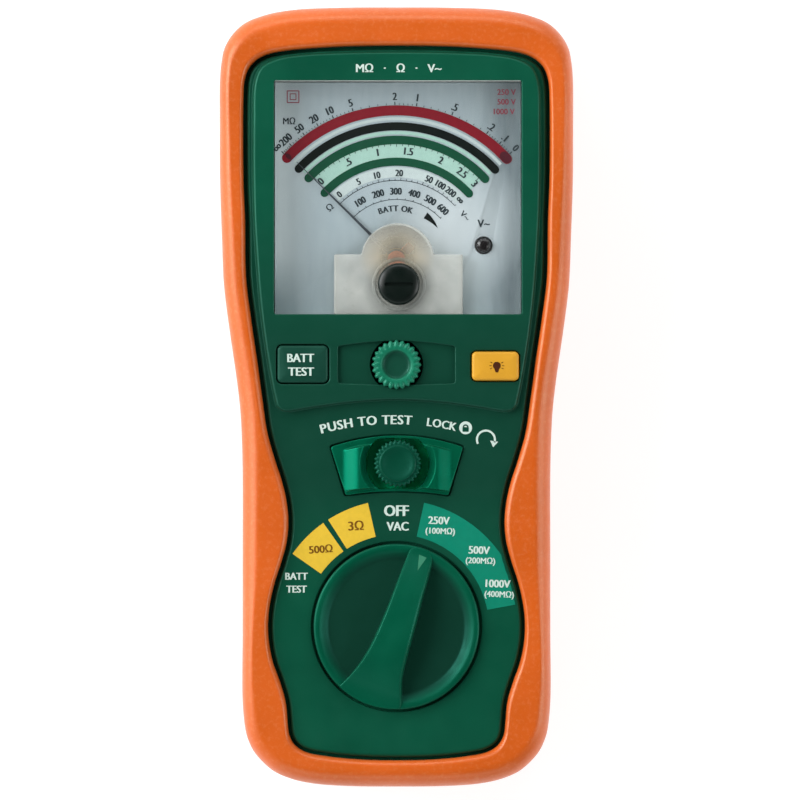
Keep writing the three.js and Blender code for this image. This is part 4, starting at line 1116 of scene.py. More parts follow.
def build_cover():
    """Translucent movement cover: roof with a round end, skirts, ring round the zero screw."""
    left, right, low, arc_start = -16, 17, -14.0, 1.4
    under, top, skirt_bottom = 39.0, 40.0, 36.1
    x, y = PIVOT
    corners = [(x + right, y + low), (x + right, y + arc_start)]
    for i in range(33):
        angle = math.radians(8.6 + (180 - 17.2) * i / 32)
        corners.append((x + 0.3 + 9.4 * math.cos(angle), y + 9.4 * math.sin(angle)))
    corners += [(x + left, y + arc_start), (x + left, y + low)]
    plan = round_poly(corners, 0.8)
    shell = Shell()
    roof = shell.loft([(plan[0], under), (plan[0], 39.7), (offset(plan, -0.3), top)])
    hole = circle(3.0, ZERO_SCREW, 64)[0]
    hole_low, hole_top = shell.loft([(hole, under), (hole, top)])
    shell.fill(roof[-1], [hole_top])
    shell.fill(roof[0], [hole_low])
    # skirts: centre from the pivot, width, height in plan
    for skirt_x, skirt_y, width, height in ((-15.5, -6.3, 1, 15.4), (16.5, -6.3, 1, 15.4),
                                            (0.5, -13.5, 31, 1)):
        skirt = rounded_rect(x + skirt_x, y + skirt_y, width, height, 0.2, 3)[0]
        shell.prism(skirt, skirt_bottom, under)
    outer, inner = circle(6.9, ZERO_SCREW), circle(6.0, ZERO_SCREW)
    rings = shell.loft([(outer[0], top), (outer[0], 40.4), (offset(outer, -0.2), 40.6),
                        (offset(inner, 0.2), 40.6), (inner[0], 40.4), (inner[0], top)])
    shell.bridge(rings[-1], rings[0])
    piece("movement_cover_moulding", shell, [MILKY], slot="milky_plastic",
          replaces="movement_cover", sharp=35)


def build_bridge():
    """Brass strap over the movement with the jewel screw in the middle."""
    x, y = PIVOT
    depth, under = 2.8, 38.0
    strap = rounded_rect(x, y, 16.6, depth, 0.5, 4)
    shell = Shell().solid([(strap[0], under), (strap[0], 38.5), (offset(strap, -0.1), 38.6)])
    for leg_x in (-7.9, 7.9):
        shell.prism(rounded_rect(x + leg_x, y, 0.8, depth, 0.15, 2)[0], 33.5, under)
    piece("bearing_strap", shell, [BRASS, BRONZE], slot="brass", replaces="bearing_bridge",
          sharp=35)
    # radius, z
    profile = [(2.3, 38.6), (2.3, 38.75), (2.15, 38.88), (1.2, 38.92), (0.9, 38.88),
               (0.9, 38.75), (0.02, 38.72)]
    piece("jewel_screw", Shell().solid(turned(profile, PIVOT, 48)), [BRONZE], slot="brass",
          sharp=35)


def build_needle():
    """Knife-edge pointer with a hub and a balance tail, turned to its rest angle."""
    blade_bottom = 36.45
    shell = Shell()
    for radius, y in ((1.5, 0), (1.0, -4.5)):
        shell.solid(chamfered(circle(radius, (0, y), 40), 36.0, 37.3, -0.12))
    # y, half width, height
    stations = [(-5.0, 0.45, 0.42), (0.0, 0.50, 0.45), (8.0, 0.40, 0.40), (12.0, 0.32, 0.36),
                (24.0, 0.21, 0.30), (25.2, 0.15, 0.28), (36.0, 0.08, 0.2)]
    sections = []
    for y, half, height in stations:
        wall_top = blade_bottom + height * 0.55
        sections.append([(-half, y, blade_bottom), (half, y, blade_bottom), (half, y, wall_top),
                         (0, y, blade_bottom + height), (-half, y, wall_top)])
    shell.tube(sections).place(NEEDLE_REST, PIVOT)
    piece("needle_blade", shell, [NEEDLE], body="pointer", slot="needle", replaces="needle",
          sharp=30, weighted=False)


build_pane()
build_zero_screw()
build_cover()
build_bridge()
build_needle()


# ------------------------------------------------------------ keys
def build_key(name, centre, width, height, radius, top, material, **links):
    """Crowned key cap with a flange below and a stem."""
    fillet, crown, crown_run = 0.8, 0.25, 2.4
    flange_bottom, flange_top = 38.6, 40.0
    flange = rounded_rect(*centre, width, height + 2.2, radius)[0]

    def inset(by):
        return rounded_rect(*centre, width - 2 * by, height - 2 * by, max(radius - by, 0.25))[0]

    layers = [(flange, flange_bottom), (flange, flange_top), (inset(0), flange_top)]
    for angle in quarter(7):
        layers.append((inset(fillet * (1 - math.cos(angle))),
                       top - crown - fillet * (1 - math.sin(angle))))
    for run in (0.25, 0.55, 0.9, 1.3, 1.8, crown_run):
        layers.append((inset(fillet + run), top - crown * (1 - run / crown_run) ** 2))
    shell = Shell().solid(layers)
    shell.prism(circle(2.0, centre, 32)[0], 31.5, flange_bottom)
    piece(name, shell, [material], **links)


build_key("battery_check_cap", KEY_LEFT, width=13.0, height=9.6, radius=1.3, top=KEY_LEFT_TOP,
          material=KEY_GREEN, replaces="battery_check_button", slot="dark_green_key",
          body="check_key")
build_key("backlight_cap", KEY_RIGHT, width=12.0, height=7.4, radius=1.2, top=KEY_RIGHT_TOP,
          material=YELLOW, replaces="backlight_button", slot="yellow_key", body="light_key")


# ------------------------------------------------------------ knurled knobs
def knurl(root, crest, teeth, per_tooth):
    """Unit directions and the radius along each of them."""
    angles = np.linspace(0, 2 * np.pi, teeth * per_tooth, endpoint=False)
    wave = ((np.cos(angles * teeth) + 1) / 2) ** (1 / 1.3)
    return np.stack([np.cos(angles), np.sin(angles)], 1), root + (crest - root) * wave


def spun(directions, profile):
    """Layers from (radius, z), where either may be an array with a value per direction."""
    return [(directions * np.reshape(radius, (-1, 1)), z) for radius, z in profile]


def build_zero_knob():
    crest, shoulder = 6.35, 44.5
    directions, radius = knurl(5.8, crest, 24, 14)
    profile = [(0.01, 30.0), (2.2, 30.0), (2.2, 41.2), (radius - 0.3, 41.2), (radius, 41.5),
               (radius, shoulder)]
    # the teeth run out over a rounded shoulder
    for angle in quarter(7)[1:]:
        drawn_in = 0.75 * (1 - math.cos(angle))
        plain = math.sin(angle) ** 2 * 0.35
        notch = (crest - radius) * 0.55 * math.sin(angle)
        profile.append(((radius - drawn_in) * (1 - plain) + (5.9 - drawn_in) * plain,
                        shoulder + 0.85 * math.sin(angle) - notch))
    # ring that slopes into the dish, then the wall and floor of the dish
    profile.append((4.95, 45.38 - (crest - radius) * 0.45))
    profile += [(5.0 - 1.1 * part, 45.38 - 0.10 * part - 0.12 * part * part)
                for part in (0.4, 0.6, 0.8, 1.0)]
    profile += [(3.9 - 0.75 * part, 45.16 - 1.1 * ease(part))
                for part in (0.15, 0.35, 0.6, 0.85, 1.0)]
    profile += [(2.4, 43.98), (1.3, 43.95), (0.01, 43.95)]
    shell = Shell().solid(spun(directions, profile)).place(at=ZERO_KNOB)
    piece("zero_adjust_knurled", shell, [ZERO_GREEN], body="ohm_zero_knob", slot="bright_green",
          replaces="zero_adjust_knob", sharp=50)


def build_test_knob():
    shoulder = 44.9
    directions, radius = knurl(5.6, 6.1, 30, 12)
    profile = [(0.01, 43.6), (2.7, 43.6), (2.7, 40.3), (radius - 0.3, 40.3), (radius, 40.6),
               (radius, shoulder)]
    profile += [(radius - 0.8 * (1 - math.cos(angle)), shoulder + 0.75 * math.sin(angle))
                for angle in quarter(5)[1:]]
    profile.append((4.75, 45.68))
    profile += [(4.75 - 0.35 * math.sin(angle), 45.68 + 0.5 * (1 - math.cos(angle)))
                for angle in quarter(5)[1:]]
    profile += [(3.9, 46.18), (3.6, 46.05), (2.2, 45.75), (0.01, 45.65)]
    shell = Shell().solid(spun(directions, profile)).place(at=TEST)
    piece("test_knob_knurled", shell, [TEST_GREEN], body="test_cap", slot="knob_green",
          replaces="test_knob", sharp=45)


build_zero_knob()
build_test_knob()


# ------------------------------------------------------------ test surround
def build_surround():
    count = 576
    bottom, seat, well_floor = 36.6, 41.5, 37.4
    well_radius, border, crest_rise, mouth, wall_top = 8.2, 43.2, 1.95, 42.9, 42.85
    angles = np.linspace(0, 2 * np.pi, count, endpoint=False)

    def by_angle(plan):
        """The plan at fixed angles seen from the knob's centre, so that plans pair up."""
        from_centre = densify(plan[0], 0.05) - np.array(TEST)
        angle = np.arctan2(from_centre[:, 1], from_centre[:, 0]) % (2 * np.pi)
        order = np.argsort(angle)
        angle, radius = angle[order], np.linalg.norm(from_centre, axis=1)[order]
        radii = np.interp(
            angles, np.concatenate([angle[-1:] - 2 * np.pi, angle, angle[:1] + 2 * np.pi]),
            np.concatenate([radius[-1:], radius, radius[:1]]))
        return np.array(TEST) + np.stack([np.cos(angles), np.sin(angles)], 1) * radii[:, None]

    def height(points):
        """Low border all round, flanks that rise to the well, then a cone down to its mouth."""
        x, y = points[:, 0], points[:, 1]
        rise = ease((14.5 - np.abs(x - 0.3)) / 5.0)
        lip = (ease((bowed_y(x, SURROUND_TOP) - y - 1.55) / 0.55)
               * ease((y - bowed_y(x, SURROUND_LOW) - 0.75) / 0.5))
        flank = border + crest_rise * rise * lip
        from_knob = np.hypot(x - TEST[0], y - TEST[1])
        cone = ease((from_knob - well_radius) / 1.75)
        return flank - (flank - mouth) * (1 - cone) * 0.85

    outer = by_angle(surround_plan(0.0))
    well = by_angle(well_plan(well_radius, 0.55))
    cup = by_angle(well_plan(9.0, 0.0))
    gap = np.linalg.norm(well - outer, axis=1)
    inward = (well - outer) / np.maximum(gap, 1e-6)[:, None]
    edge = np.minimum(0.35, gap * 0.3)
    layers = [(cup, bottom), (cup, seat), (outer, seat), (outer, 42.8)]
    for angle in quarter(4)[1:]:
        points = outer + inward * (edge * (1 - math.cos(angle)))[:, None]
        layers.append((points, wall_top + (height(points) - wall_top) * math.sin(angle)))
    start = outer + inward * edge[:, None]
    for part in np.linspace(0.02, 0.98, 64):
        points = start + (well - start) * part
        layers.append((points, height(points)))
    hole = circle(2.9, TEST, count)[0]
    layers += [(well, height(well) - 0.12), (well, 37.7), (well + inward * 0.3, well_floor),
               (hole, well_floor), (hole, bottom)]
    shell = Shell()
    rings = shell.loft(layers)
    shell.bridge(rings[-1], rings[0])
    piece("test_surround", shell, [BRIGHT], slot="bright_green", replaces="test_bezel")


build_surround()

# ------------------------------------------------------------ range knob
# Pointer grip from tail to tip: (place along the pointer, half width on that side)
GRIP_LEFT = [(-21.2, 8.4), (-19.7, 7.76), (-17.4, 6.75), (-14.8, 5.76), (-11.4, 4.85),
             (-8.0, 4.27), (-3.5, 3.95), (1.1, 3.88), (7.7, 3.98), (13.8, 4.25), (19.0, 4.40),
             (21.2, 4.45)]
GRIP_RIGHT = [(-21.2, 8.8), (-18.5, 8.9), (-15.4, 7.75), (-13.1, 6.75), (-11.6, 6.25),
              (-7.5, 5.43), (-3.7, 4.9), (0.1, 4.42), (5.0, 3.75), (10.0, 3.1), (15.6, 2.55),
              (18.9, 2.1), (21.2, 1.3)]
# (place along the pointer, z of the crest)
GRIP_ARCH = [(-21.2, 44.42), (-20.0, 44.55), (-18.0, 45.1), (-15.0, 46.4), (-11.0, 48.0),
             (-6.0, 49.3), (0.0, 49.9), (5.0, 49.7), (10.0, 48.7), (14.0, 47.2), (17.0, 45.8),
             (19.3, 44.75), (20.3, 44.45), (21.2, 44.35)]


def spline(table, x):
    """Cubic through a table of (x, value)."""
    knots, values = np.array(table, float).T
    slopes = np.gradient(values, knots)
    x = np.clip(x, knots[0], knots[-1])
    k = np.clip(np.searchsorted(knots, x) - 1, 0, len(knots) - 2)
    step = knots[k + 1] - knots[k]
    part = (x - knots[k]) / step
    return ((1 + 2 * part) * (1 - part) ** 2 * values[k]
            + part * (1 - part) ** 2 * step * slopes[k]
            + part * part * (3 - 2 * part) * values[k + 1]
            + part * part * (part - 1) * step * slopes[k + 1])


def grip_top(along, across):
    """Height of the grip's top face."""
    left, right = spline(GRIP_LEFT, along), spline(GRIP_RIGHT, along)
    from_middle = np.clip((across - (right - left) / 2) / ((right + left) / 2), -1, 1)
    crest = spline(GRIP_ARCH, along)
    return crest - np.minimum(0.42, (crest - 44.2) * 0.3) * np.maximum(from_middle, -0.3) ** 2


def build_disc():
    """Rim, conical wall inside it, and a floor that falls a little towards the middle."""
    # radius, z
    profile = [(0.02, 41.6), (20.9, 41.6), (21.2, 41.9), (21.2, 43.7)]
    profile += [(21.2 - 0.65 * (1 - math.cos(angle)), 43.7 + 0.62 * math.sin(angle))
                for angle in quarter(6)[1:]]
    profile += [(20.2, 44.33), (19.9, 44.30)]
    profile += [(19.85 - 2.55 * part, 44.28 - 1.35 * (0.55 * part + 0.45 * ease(part)))
                for part in np.linspace(0.1, 1.0, 12)]
    profile += [(16.9, 42.90), (14.0, 42.84), (10.0, 42.80), (5.0, 42.78), (0.01, 42.78)]
    return Shell().solid(turned(profile, (0, 0), 288))


def grip_section(along, reach, base=42.2):
    """Cross-section of the grip, where reach is the radius that it may not pass."""
    chord = math.sqrt(max(reach * reach - along * along, 1e-4))
    # the corners of the tip are rounded
    tip_start = 18.6
    tip = max(0.0, (along - tip_start) / (reach - tip_start))
    taper = math.sqrt(max(1 - tip ** 3.2, 0.0))
    left, right = (max(min(float(spline(side, along)), chord) * taper, 0.02)
                   for side in (GRIP_LEFT, GRIP_RIGHT))
    left_top, right_top = float(grip_top(along, -left)), float(grip_top(along, right))
    left_fillet = min(0.32, 0.30 * (left_top - base), left * 0.4)
    right_fillet = min(0.85, 0.30 * (right_top - base), right * 0.4)
    draft = 0.05 + 0.035 * (left_top - 44.3)
    points = [(-left - draft, base),
              (-left - draft * 0.5, (base + left_top - left_fillet) / 2)]
    points += [(-left + left_fillet * (1 - math.cos(angle)),
                left_top - left_fillet + left_fillet * math.sin(angle))
               for angle in quarter(5)]
    start, end = -left + left_fillet, right - right_fillet
    for part in np.linspace(0, 1, 13)[1:-1]:
        across = start + (end - start) * part
        points.append((across, float(grip_top(along, across))))
    end_top = float(grip_top(along, end))
    points += [(end + right_fillet * math.sin(angle),
                end_top - right_fillet * (1 - math.cos(angle))) for angle in quarter(6)]
    points += [(right + draft * 0.8, (base + end_top - right_fillet) / 2),
               (right + draft * 1.6, base)]
    return [(across, along, z) for across, z in points]


def build_range_knob():
    reach = 21.12
    # stations crowd towards both ends
    crowded = (1 - np.cos(np.linspace(0, np.pi / 2, 14))) * 3.0
    stations = np.concatenate([-reach + crowded + 0.004, np.linspace(-18.0, 18.0, 90),
                               reach - 0.004 - crowded[::-1]])
    stations = np.unique(np.round(stations, 4))
    grip = Shell().tube([grip_section(along, reach) for along in stations])
    bore = Shell().prism(circle(2.8, (0, 0), 48)[0], 41.0, 47.2)
    disc = build_disc()
    for shell in (disc, grip, bore):
        shell.place(RANGE_KNOB_TURN, RANGE_KNOB)
    ob = piece("range_knob_moulding", disc, [KNOB_GREEN], body="range_knob", slot="knob_green",
               replaces="function_knob")
    carve(ob, grip, operation="UNION")
    carve(ob, bore)
    ob.data.set_sharp_from_angle(angle=math.radians(38))


def build_knob_mark():
    """Pale wedge near the tip of the grip."""
    wedge = densify([(0.35, 19.3), (-0.55, 15.4), (-1.75, 19.3)], 0.3)
    z = grip_top(wedge[:, 1], wedge[:, 0])
    shell = Shell().solid([(wedge, z - 0.10), (wedge, z + 0.035)])
    printed_piece("range_knob_index", shell.place(RANGE_KNOB_TURN, RANGE_KNOB), [INK_INDEX],
                  body="range_knob")


build_range_knob()
build_knob_mark()


# ------------------------------------------------------------ printing on the face
def face_sector(start, end, edge, inner=23.6, outer=32.5, margin=1.95, steps=28):
    """Sector round the range knob, drawn in where it would come too near the face's edge."""
    points = []
    for i in range(steps + 1):
        degrees = start + (end - start) * i / steps
        radius = outer
        for _ in range(60):
            x, y = polar(RANGE_KNOB, radius, degrees)
            nearest = np.argmin(np.hypot(edge[:, 0] - x, edge[:, 1] - y))
            if abs(x) < abs(edge[nearest, 0]) - margin:
                break
            radius -= 0.05
        points.append(polar(RANGE_KNOB, radius, degrees))
    points += [polar(RANGE_KNOB, inner, end + (start - end) * i / steps)
               for i in range(steps + 1)]
    return np.array(points[::-1])


def face_print():
    white, yellow, teal, brown, green = range(5)
    z = Z_FACE + INK_GAP
    over = z + OVERPRINT
    shell = Shell()
    edge = outline(FACE_OUTLINE, 900)[0]
    for start, end, ink in ((-55.0, -35.2, yellow), (-32.6, -13.0, yellow), (12.6, 79.5, teal)):
        shell.flat(face_sector(start, end, edge), z, ink)
    # text, size, x, y, turn, weight, slot, squeeze
    on_sectors = [("500Ω", 2.75, -19.4, -38.9, 4, 0.16, brown, 1.0),
                  ("3Ω", 3.3, -10.4, -32.9, 3, 0.18, brown, 1.0)]
    for volts, limit, x, y in (("250V", "(100MΩ)", 10.9, -31.6), ("500V", "(200MΩ)", 21.2, -39.2),
                               ("1000V", "(400MΩ)", 26.0, -47.8)):
        on_sectors += [(volts, 2.8, x, y, -2, 0.22, white, 0.92),
                       (limit, 2.2, x + 0.3, y - 2.9, -2, 0.14, white, 0.95)]
    put_labels(shell, on_sectors, over)
    put_labels(shell, [("OFF", 4.0, 0.0, -29.1, 0, 0.34, white, 0.90),
                       ("VAC", 3.2, 0.3, -33.1, 0, 0.26, white, 0.88),
                       ("BATT", 2.6, -25.6, -45.9, 0, 0.2, white, 0.92),
                       ("TEST", 2.6, -25.6, -49.2, 0, 0.2, white, 0.92)], z)
    # legend over the test knob, on a shallow arc
    centre, radius = (-1.0, -76.0), 70.2
    put_arc_string(shell, "PUSH TO TEST", 3.35, centre, radius, -5.6, z, weight=0.26,
                   track=0.16)
    put_arc_string(shell, "LOCK", 3.0, centre, radius, 10.35, z, weight=0.22, squeeze=0.92,
                   track=0.10)
    # closed padlock on a disc
    x, y = 17.7, -7.9
    shell.flat(circle(1.65, (x, y), 40)[0], z)
    shell.flat(rounded_rect(x, y - 0.42, 1.6, 1.2, 0.2, 3)[0], over, green)
    shell.flat(band((x, y + 0.15), 0.58, 0.34, -90, 90, caps=False, steps=16), over, green)
    # turn arrow
    centre, radius, end = (22.9, -10.9), 2.3, 108
    shell.flat(band(centre, radius, 0.52, -118, end, caps=False, steps=40), z)
    x, y = polar(centre, radius, end)
    shell.flat(np.array([(x - 1.1, y + 0.45), (x - 0.35, y - 1.25), (x + 0.95, y + 0.15)]), z)
    # units above the window
    put_labels(shell, [("MΩ   ·   Ω   ·   V~", 3.0, 0.6, 84.2, 0, 0.2, white, 1.0)],
               Z_PLATEAU + INK_GAP)
    printed_piece("face_printing", shell, [INK_WHITE, INK_YELLOW, INK_TEAL, INK_BROWN, GREEN])


def battery_key_print():
    shell = Shell()
    put_labels(shell, [("BATT", 3.1, KEY_LEFT[0] - 0.5, 10.0, 0, 0.24, 0, 0.92),
                       ("TEST", 3.1, KEY_LEFT[0] - 0.4, 6.5, 0, 0.24, 0, 0.98)],
               KEY_LEFT_TOP + INK_GAP)
    printed_piece("battery_key_legend", shell, [INK_WHITE], body="check_key")


def light_key_print():
    """Bulb with three rays on each side."""
    shell = Shell()
    z = KEY_RIGHT_TOP + INK_GAP
    x, y = KEY_RIGHT[0] + 0.35, KEY_RIGHT[1] - 0.25
    bulb = (x, y + 0.35)
    points = []
    for i in range(33):
        angle = math.radians(-52 + 284 * i / 32)
        points.append((bulb[0] + math.cos(angle), bulb[1] + math.sin(angle)))
    points += [(x - 0.42, y - 1.0), (x - 0.30, y - 1.35), (x + 0.30, y - 1.35),
               (x + 0.42, y - 1.0)]
    shell.flat(np.array(points), z)
    for degrees in (-115, -90, -60, 60, 90, 115):
        shell.flat(stroke(polar(bulb, 1.35, degrees), polar(bulb, 1.9, degrees), 0.16), z)
    printed_piece("light_key_icon", shell, [INK_ICON], body="light_key")


face_print()
battery_key_print()
light_key_print()

# ------------------------------------------------------------ printing on the dial
# Scales: (text, degrees clockwise from +Y)
MEGOHM_SCALE = [("∞", -46.6), ("200", -42.6), ("50", -36.4), ("20", -30.3), ("10", -24.0),
                ("5", -16.3), ("2", -0.6), ("1", 7.4), (".5", 20.9), (".2", 35.5), (".1", 41.5),
                ("0", 46.8)]
SCALE_TO_3 = [("0", -43.8), (".5", -26.2), ("1", -9.9), ("1.5", 6.4), ("2", 24.0),
              ("2.5", 36.9), ("3", 45.6)]
OHM_SCALE = [("0", -41.0), ("5", -25.8), ("10", -12.8), ("20", 1.8), ("50", 22.0),
             ("100", 30.5), ("200", 38.5), ("∞", 46.5)]
SCALE_TO_600 = [("100", -31.5), ("200", -15.5), ("300", -0.5), ("400", 15.0), ("500", 29.5),
                ("600", 42.5)]


def dial_print():
    red, dark_red, black, green, mint, pale, grey, small = range(8)
    z = Z_DIAL + INK_GAP
    over = z + DIAL_OVERPRINT
    shell = Shell()

    def tick(inner, outer, degrees, width):
        shell.flat(stroke(polar(PIVOT, inner, degrees), polar(PIVOT, outer, degrees), width),
                   over, grey)

    def numbers(scale, size, radius, height, weight, squeeze):
        for text, degrees in scale:
            put_arc_text(shell, text, size, PIVOT, radius, degrees, height, weight, grey,
                         squeeze)

    # pale square-ended bands: radius, width, start, end, ink
    for radius, width, start, end, ink in (
            (28.1, 3.6, -44.5, 46.5, mint), (36.35, 0.75, -46.5, 47.5, pale),
            (32.75, 0.85, -46.5, 47.5, mint), (22.6, 2.6, -44, 46, pale)):
        shell.flat(band(PIVOT, radius, width, start, end, caps=False), z, ink)
    # round-ended bands over them
    first, last = -47.0, 47.5
    for radius, width, ink in ((38.5, 2.6, red), (34.4, 2.1, black), (30.9, 2.2, green),
                               (25.3, 2.1, green)):
        shell.flat(band(PIVOT, radius, width, first, last), over, ink)
    # patches at the ends of the two outer bands
    for side, end in ((-1, first), (1, last)):
        for radius, width, ink in ((38.5, 2.3, dark_red), (34.4, 1.9, black)):
            shell.flat(band(PIVOT, radius, width, end - side * 1.6, end, steps=6),
                       z + 2 * DIAL_OVERPRINT, ink)

    for text, degrees in MEGOHM_SCALE:
        numbers([(text, degrees)], 2.75, 42.1, z, weight=0.22, squeeze=0.82)
        tick(39.9, 40.7, degrees, 0.24)
    marks = [degrees for _, degrees in MEGOHM_SCALE]
    for start, end in zip(marks, marks[1:]):
        for k in range(1, 5):
            tick(39.9, 40.35, start + (end - start) * k / 5, 0.14)
    numbers(SCALE_TO_3, 2.7, 28.1, over, weight=0.24, squeeze=0.85)
    for k in range(31):
        tick(29.35 if k % 5 else 29.1, 29.8, -45.0 + 3.0 * k, 0.15)
    numbers(OHM_SCALE, 2.45, 22.4, over, weight=0.20, squeeze=0.80)
    shell.flat(band(PIVOT, 20.5, 0.16, -45, 47, caps=False), z, grey)
    for k in range(24):
        tick(20.5, 20.95 if k % 4 else 21.2, -45 + 4 * k, 0.13)
    numbers(SCALE_TO_600, 2.55, 17.7, z, weight=0.24, squeeze=0.80)
    shell.flat(band(PIVOT, 15.6, 0.16, -45, 47, caps=False), z, grey)
    for k in range(13):
        tick(15.6, 16.0, -45 + 7.6 * k, 0.14)

    # battery legend and the black wedge to its right
    put_arc_string(shell, "BATT OK", 2.2, PIVOT, 13.3, -1.0, z, weight=0.20, slot=grey,
                   squeeze=0.9, track=0.12)
    wedge = [polar(PIVOT, 13.4 + 1.2 * (1 - i / 12) ** 0.8, 33 + 19 * i / 12) for i in range(13)]
    wedge += [polar(PIVOT, 13.4 - 0.6 * (i / 12), 52 - 19 * i / 12) for i in range(13)]
    shell.flat(np.array(wedge[::-1]), z, black)
    # square within a square in the upper left corner
    x, y = -26.6, 77.2
    for size, width in ((3.0, 0.24), (1.5, 0.2)):
        half = size / 2
        corners = [(x - half, y - half), (x + half, y - half), (x + half, y + half),
                   (x - half, y + half)]
        for start, end in zip(corners, corners[1:] + corners[:1]):
            shell.flat(stroke(start, end, width), z, small)
    # text, size, x, y, turn, weight, slot, squeeze
    put_labels(shell, [("MΩ", 2.4, -27.6, 71.0, 0, 0.12, grey, 0.9),
                       ("V~", 2.2, 17.6, 46.6, -46, 0.1, grey, 1.0),
                       ("Ω", 2.4, -17.2, 48.8, 44, 0.1, grey, 1.0),
                       ("250 V", 2.1, 28.3, 78.4, 0, 0.08, small, 0.95),
                       ("500 V", 2.1, 28.3, 75.9, 0, 0.08, small, 0.95),
                       ("1000 V", 2.1, 27.7, 73.4, 0, 0.08, small, 0.95),
                       ("V~", 2.9, LAMP_X, 44.6, 0, 0.16, grey, 0.9)], z)
    printed_piece("dial_printing", shell, [INK_RED, INK_DARK_RED, INK_BLACK, INK_GREEN, INK_MINT,
                                           INK_PALE, INK_GREY, INK_SMALL])


dial_print()

# ------------------------------------------------------------ CAD nodes that stay
# Material, then each node with the width of its soft edges in mm; 0 leaves them as they are
KEPT = (
    (GREEN, {"rear_case": 0.3, "battery_door": 0.3}),
    (WHITE, {"meter_housing": 0.15, "backlight_led": 0, "test_plunger": 0.2,
             "switch_shaft": 0.2, "switch_rotor": 0.2}),
    (DIAL, {"dial_plate": 0.08}),
    (BRASS, {"zero_arm": 0, "hairspring": 0, "contact_strip_lower": 0, "contact_strip_upper": 0,
             "jack_contact_left": 0.15, "jack_contact_middle": 0.15,
             "jack_contact_right": 0.15}),
    (STEEL, {"movement_yoke": 0.2, "needle_spindle": 0, "test_spring": 0, "detent_spring": 0,
             "fuse": 0, "stand_pin": 0, "battery_door_screw": 0}),
    (STEEL, {f"case_screw_{k}": 0 for k in range(1, 5)}),
    (FERRITE, {"movement_core": 0, "hv_transformer": 0.3}),
    (COPPER, {"moving_coil": 0.25}),
    (LENS, {"live_lamp": 0.15}),
    (BLACK, {"zero_adjust_pot": 0.3, "key_switch_left": 0.2, "key_switch_right": 0.2,
             "test_switch": 0.25, "hv_capacitor": 0.6, "battery_tray": 0.2,
             "terminal_block": 0.35}),
    (BOARD, {"main_board": 0.1}),
    (CELL, {f"aa_cell_{k}": 0 for k in range(1, 9)}),
)


def dress(ob, material, soft):
    sharp = math.radians(32)
    ob.data.materials.clear()
    ob.data.materials.append(material)
    for polygon in ob.data.polygons:
        polygon.material_index = 0
        polygon.use_smooth = True
    ob.data.set_sharp_from_angle(angle=sharp)
    weld = ob.modifiers.new("weld", "WELD")
    weld.merge_threshold = 2e-6
    if soft:
        bevel = ob.modifiers.new("soft_edge", "BEVEL")
        bevel.width = soft * MM
        bevel.segments = 2
        bevel.limit_method = "ANGLE"
        bevel.angle_limit = sharp
        bevel.harden_normals = True


for material, group in KEPT:
    for name, soft in group.items():
        dress(NODES[name], material, soft)

# the return spring closes up under the plunger, from 5.18 mm at rest to 2.68 mm
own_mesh(NODES["test_spring"])


# ------------------------------------------------------------ floor, lights, world, camera (m)
def build_floor():
    half, z = 3, -0.0005
    mesh = bpy.data.meshes.new("floor")
    mesh.from_pydata([(-half, -half, z), (half, -half, z), (half, half, z), (-half, half, z)],
                     [], [(0, 1, 2, 3)])
    ob = add_object("floor", mesh)
    mat = Material("floor_paper")
    mat.principled({
        "Base Color": mat.mix(mat.cloud(scale=6, lo=0.3, hi=0.7, detail=2.0),
                              (0.34, 0.34, 0.34, 1), (0.36, 0.36, 0.36, 1)),
        "Roughness": 0.8,
        "Emission Color": (1, 1, 1, 1),
        "Emission Strength": 0.80})
    mesh.materials.append(mat.material)


def area_light(name, place, size, energy, target=(0, 0, 0.02)):
    light = bpy.data.lights.new(name, "AREA")
    light.shape = "RECTANGLE"
    light.size, light.size_y = size
    light.energy = energy
    ob = add_object(name, light)
    ob.location = place
    ob.rotation_euler = (Vector(target) - Vector(place)).to_track_quat("-Z", "Y").to_euler()
    return ob


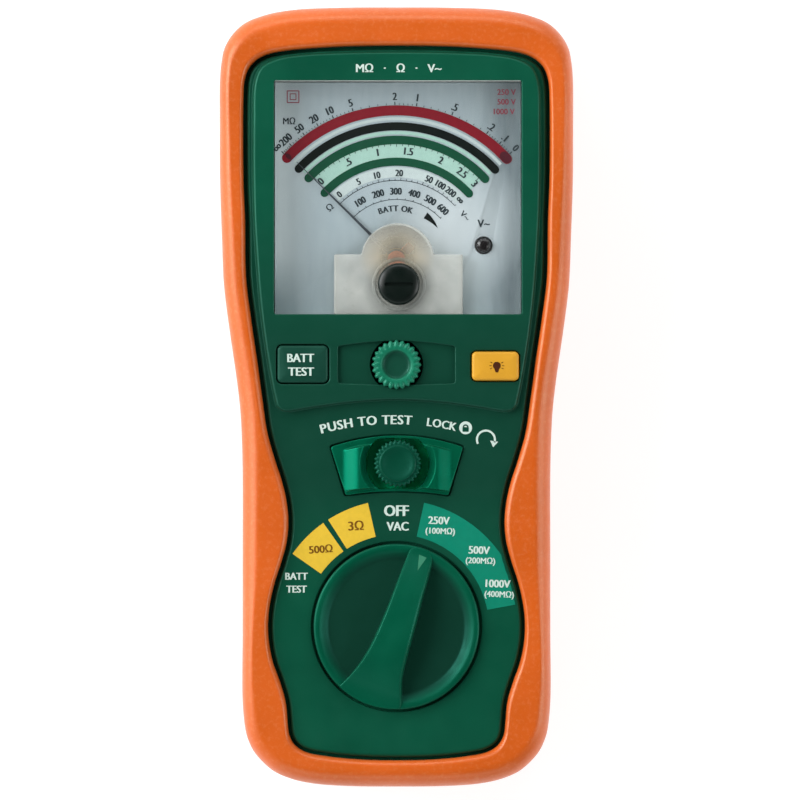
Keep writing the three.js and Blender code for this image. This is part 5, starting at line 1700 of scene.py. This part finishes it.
def build_lights():
    # name, place, size, watts
    for row in (("key_left", (-0.85, 0.30, 0.62), (0.6, 0.9), 9.3),
                ("fill_right", (0.95, -0.15, 0.50), (0.6, 0.9), 5.4),
                ("back_soft", (0.0, 1.10, 0.60), (1.2, 0.5), 4.5),
                ("front_soft", (0.0, -1.10, 0.50), (1.2, 0.5), 2.2)):
        area_light(*row)
    # keeps the recessed dial out of the shade of its frame; unseen in reflections
    x, y = WINDOW[0] * MM, WINDOW[1] * MM
    soft = area_light("window_soft", (x, y, 43.0 * MM), (63.0 * MM, 59.4 * MM), energy=0.0072,
                      target=(x, y, 0.0))
    soft.visible_camera = soft.visible_glossy = soft.visible_transmission = False


def build_world():
    """Bright low sky, dark overhead, dimmer to the lower right, soft panel low at the left."""
    world = bpy.data.worlds.new("studio")
    graph = Graph(world)
    direction = graph.node("TexCoord").outputs["Generated"]
    axes = graph.axes(direction)

    def smooth_span(value, **limits):
        return graph.span(value, curve="SMOOTHSTEP", **limits)

    sky = smooth_span(axes["Z"], lo=0.40, hi=0.90, out=(0.75, 0.06))
    side = graph.math("SUBTRACT", graph.math("MULTIPLY", axes["X"], 0.8),
                      graph.math("MULTIPLY", axes["Y"], 0.6))
    sky = graph.math("MULTIPLY", sky, smooth_span(side, lo=-0.2, hi=0.7, out=(1.0, 0.45)))
    panel_direction = tuple(Vector((-0.93, 0.26, 0.27)).normalized())
    towards_panel = graph.vector_math("DOT_PRODUCT", direction, panel_direction)
    panel = smooth_span(towards_panel, lo=0.78, hi=0.97, out=(0.0, 2.0))
    graph.fill(graph.tree.nodes["Background"],
               {"Color": (0.97, 0.98, 1.0, 1), "Strength": graph.math("ADD", sky, panel)})
    bpy.context.scene.world = world
    bpy.context.scene.view_settings.view_transform = "Standard"


def build_camera():
    """Looks straight down; view_width is what it takes in at the height of focus_plane."""
    height, focus_plane, view_width = 1.7, 0.032, 206.16 * MM
    camera = bpy.data.cameras.new("camera")
    camera.sensor_width = 36.0
    camera.lens = 36.0 * (height - focus_plane) / view_width
    camera.clip_start = 0.05
    camera.clip_end = 20
    ob = add_object("camera", camera)
    ob.location = (0.9 * MM, -0.77 * MM, height)
    bpy.context.scene.camera = ob


build_floor()
build_lights()
build_world()
build_camera()

# ------------------------------------------------------------ update
bpy.context.view_layer.update()
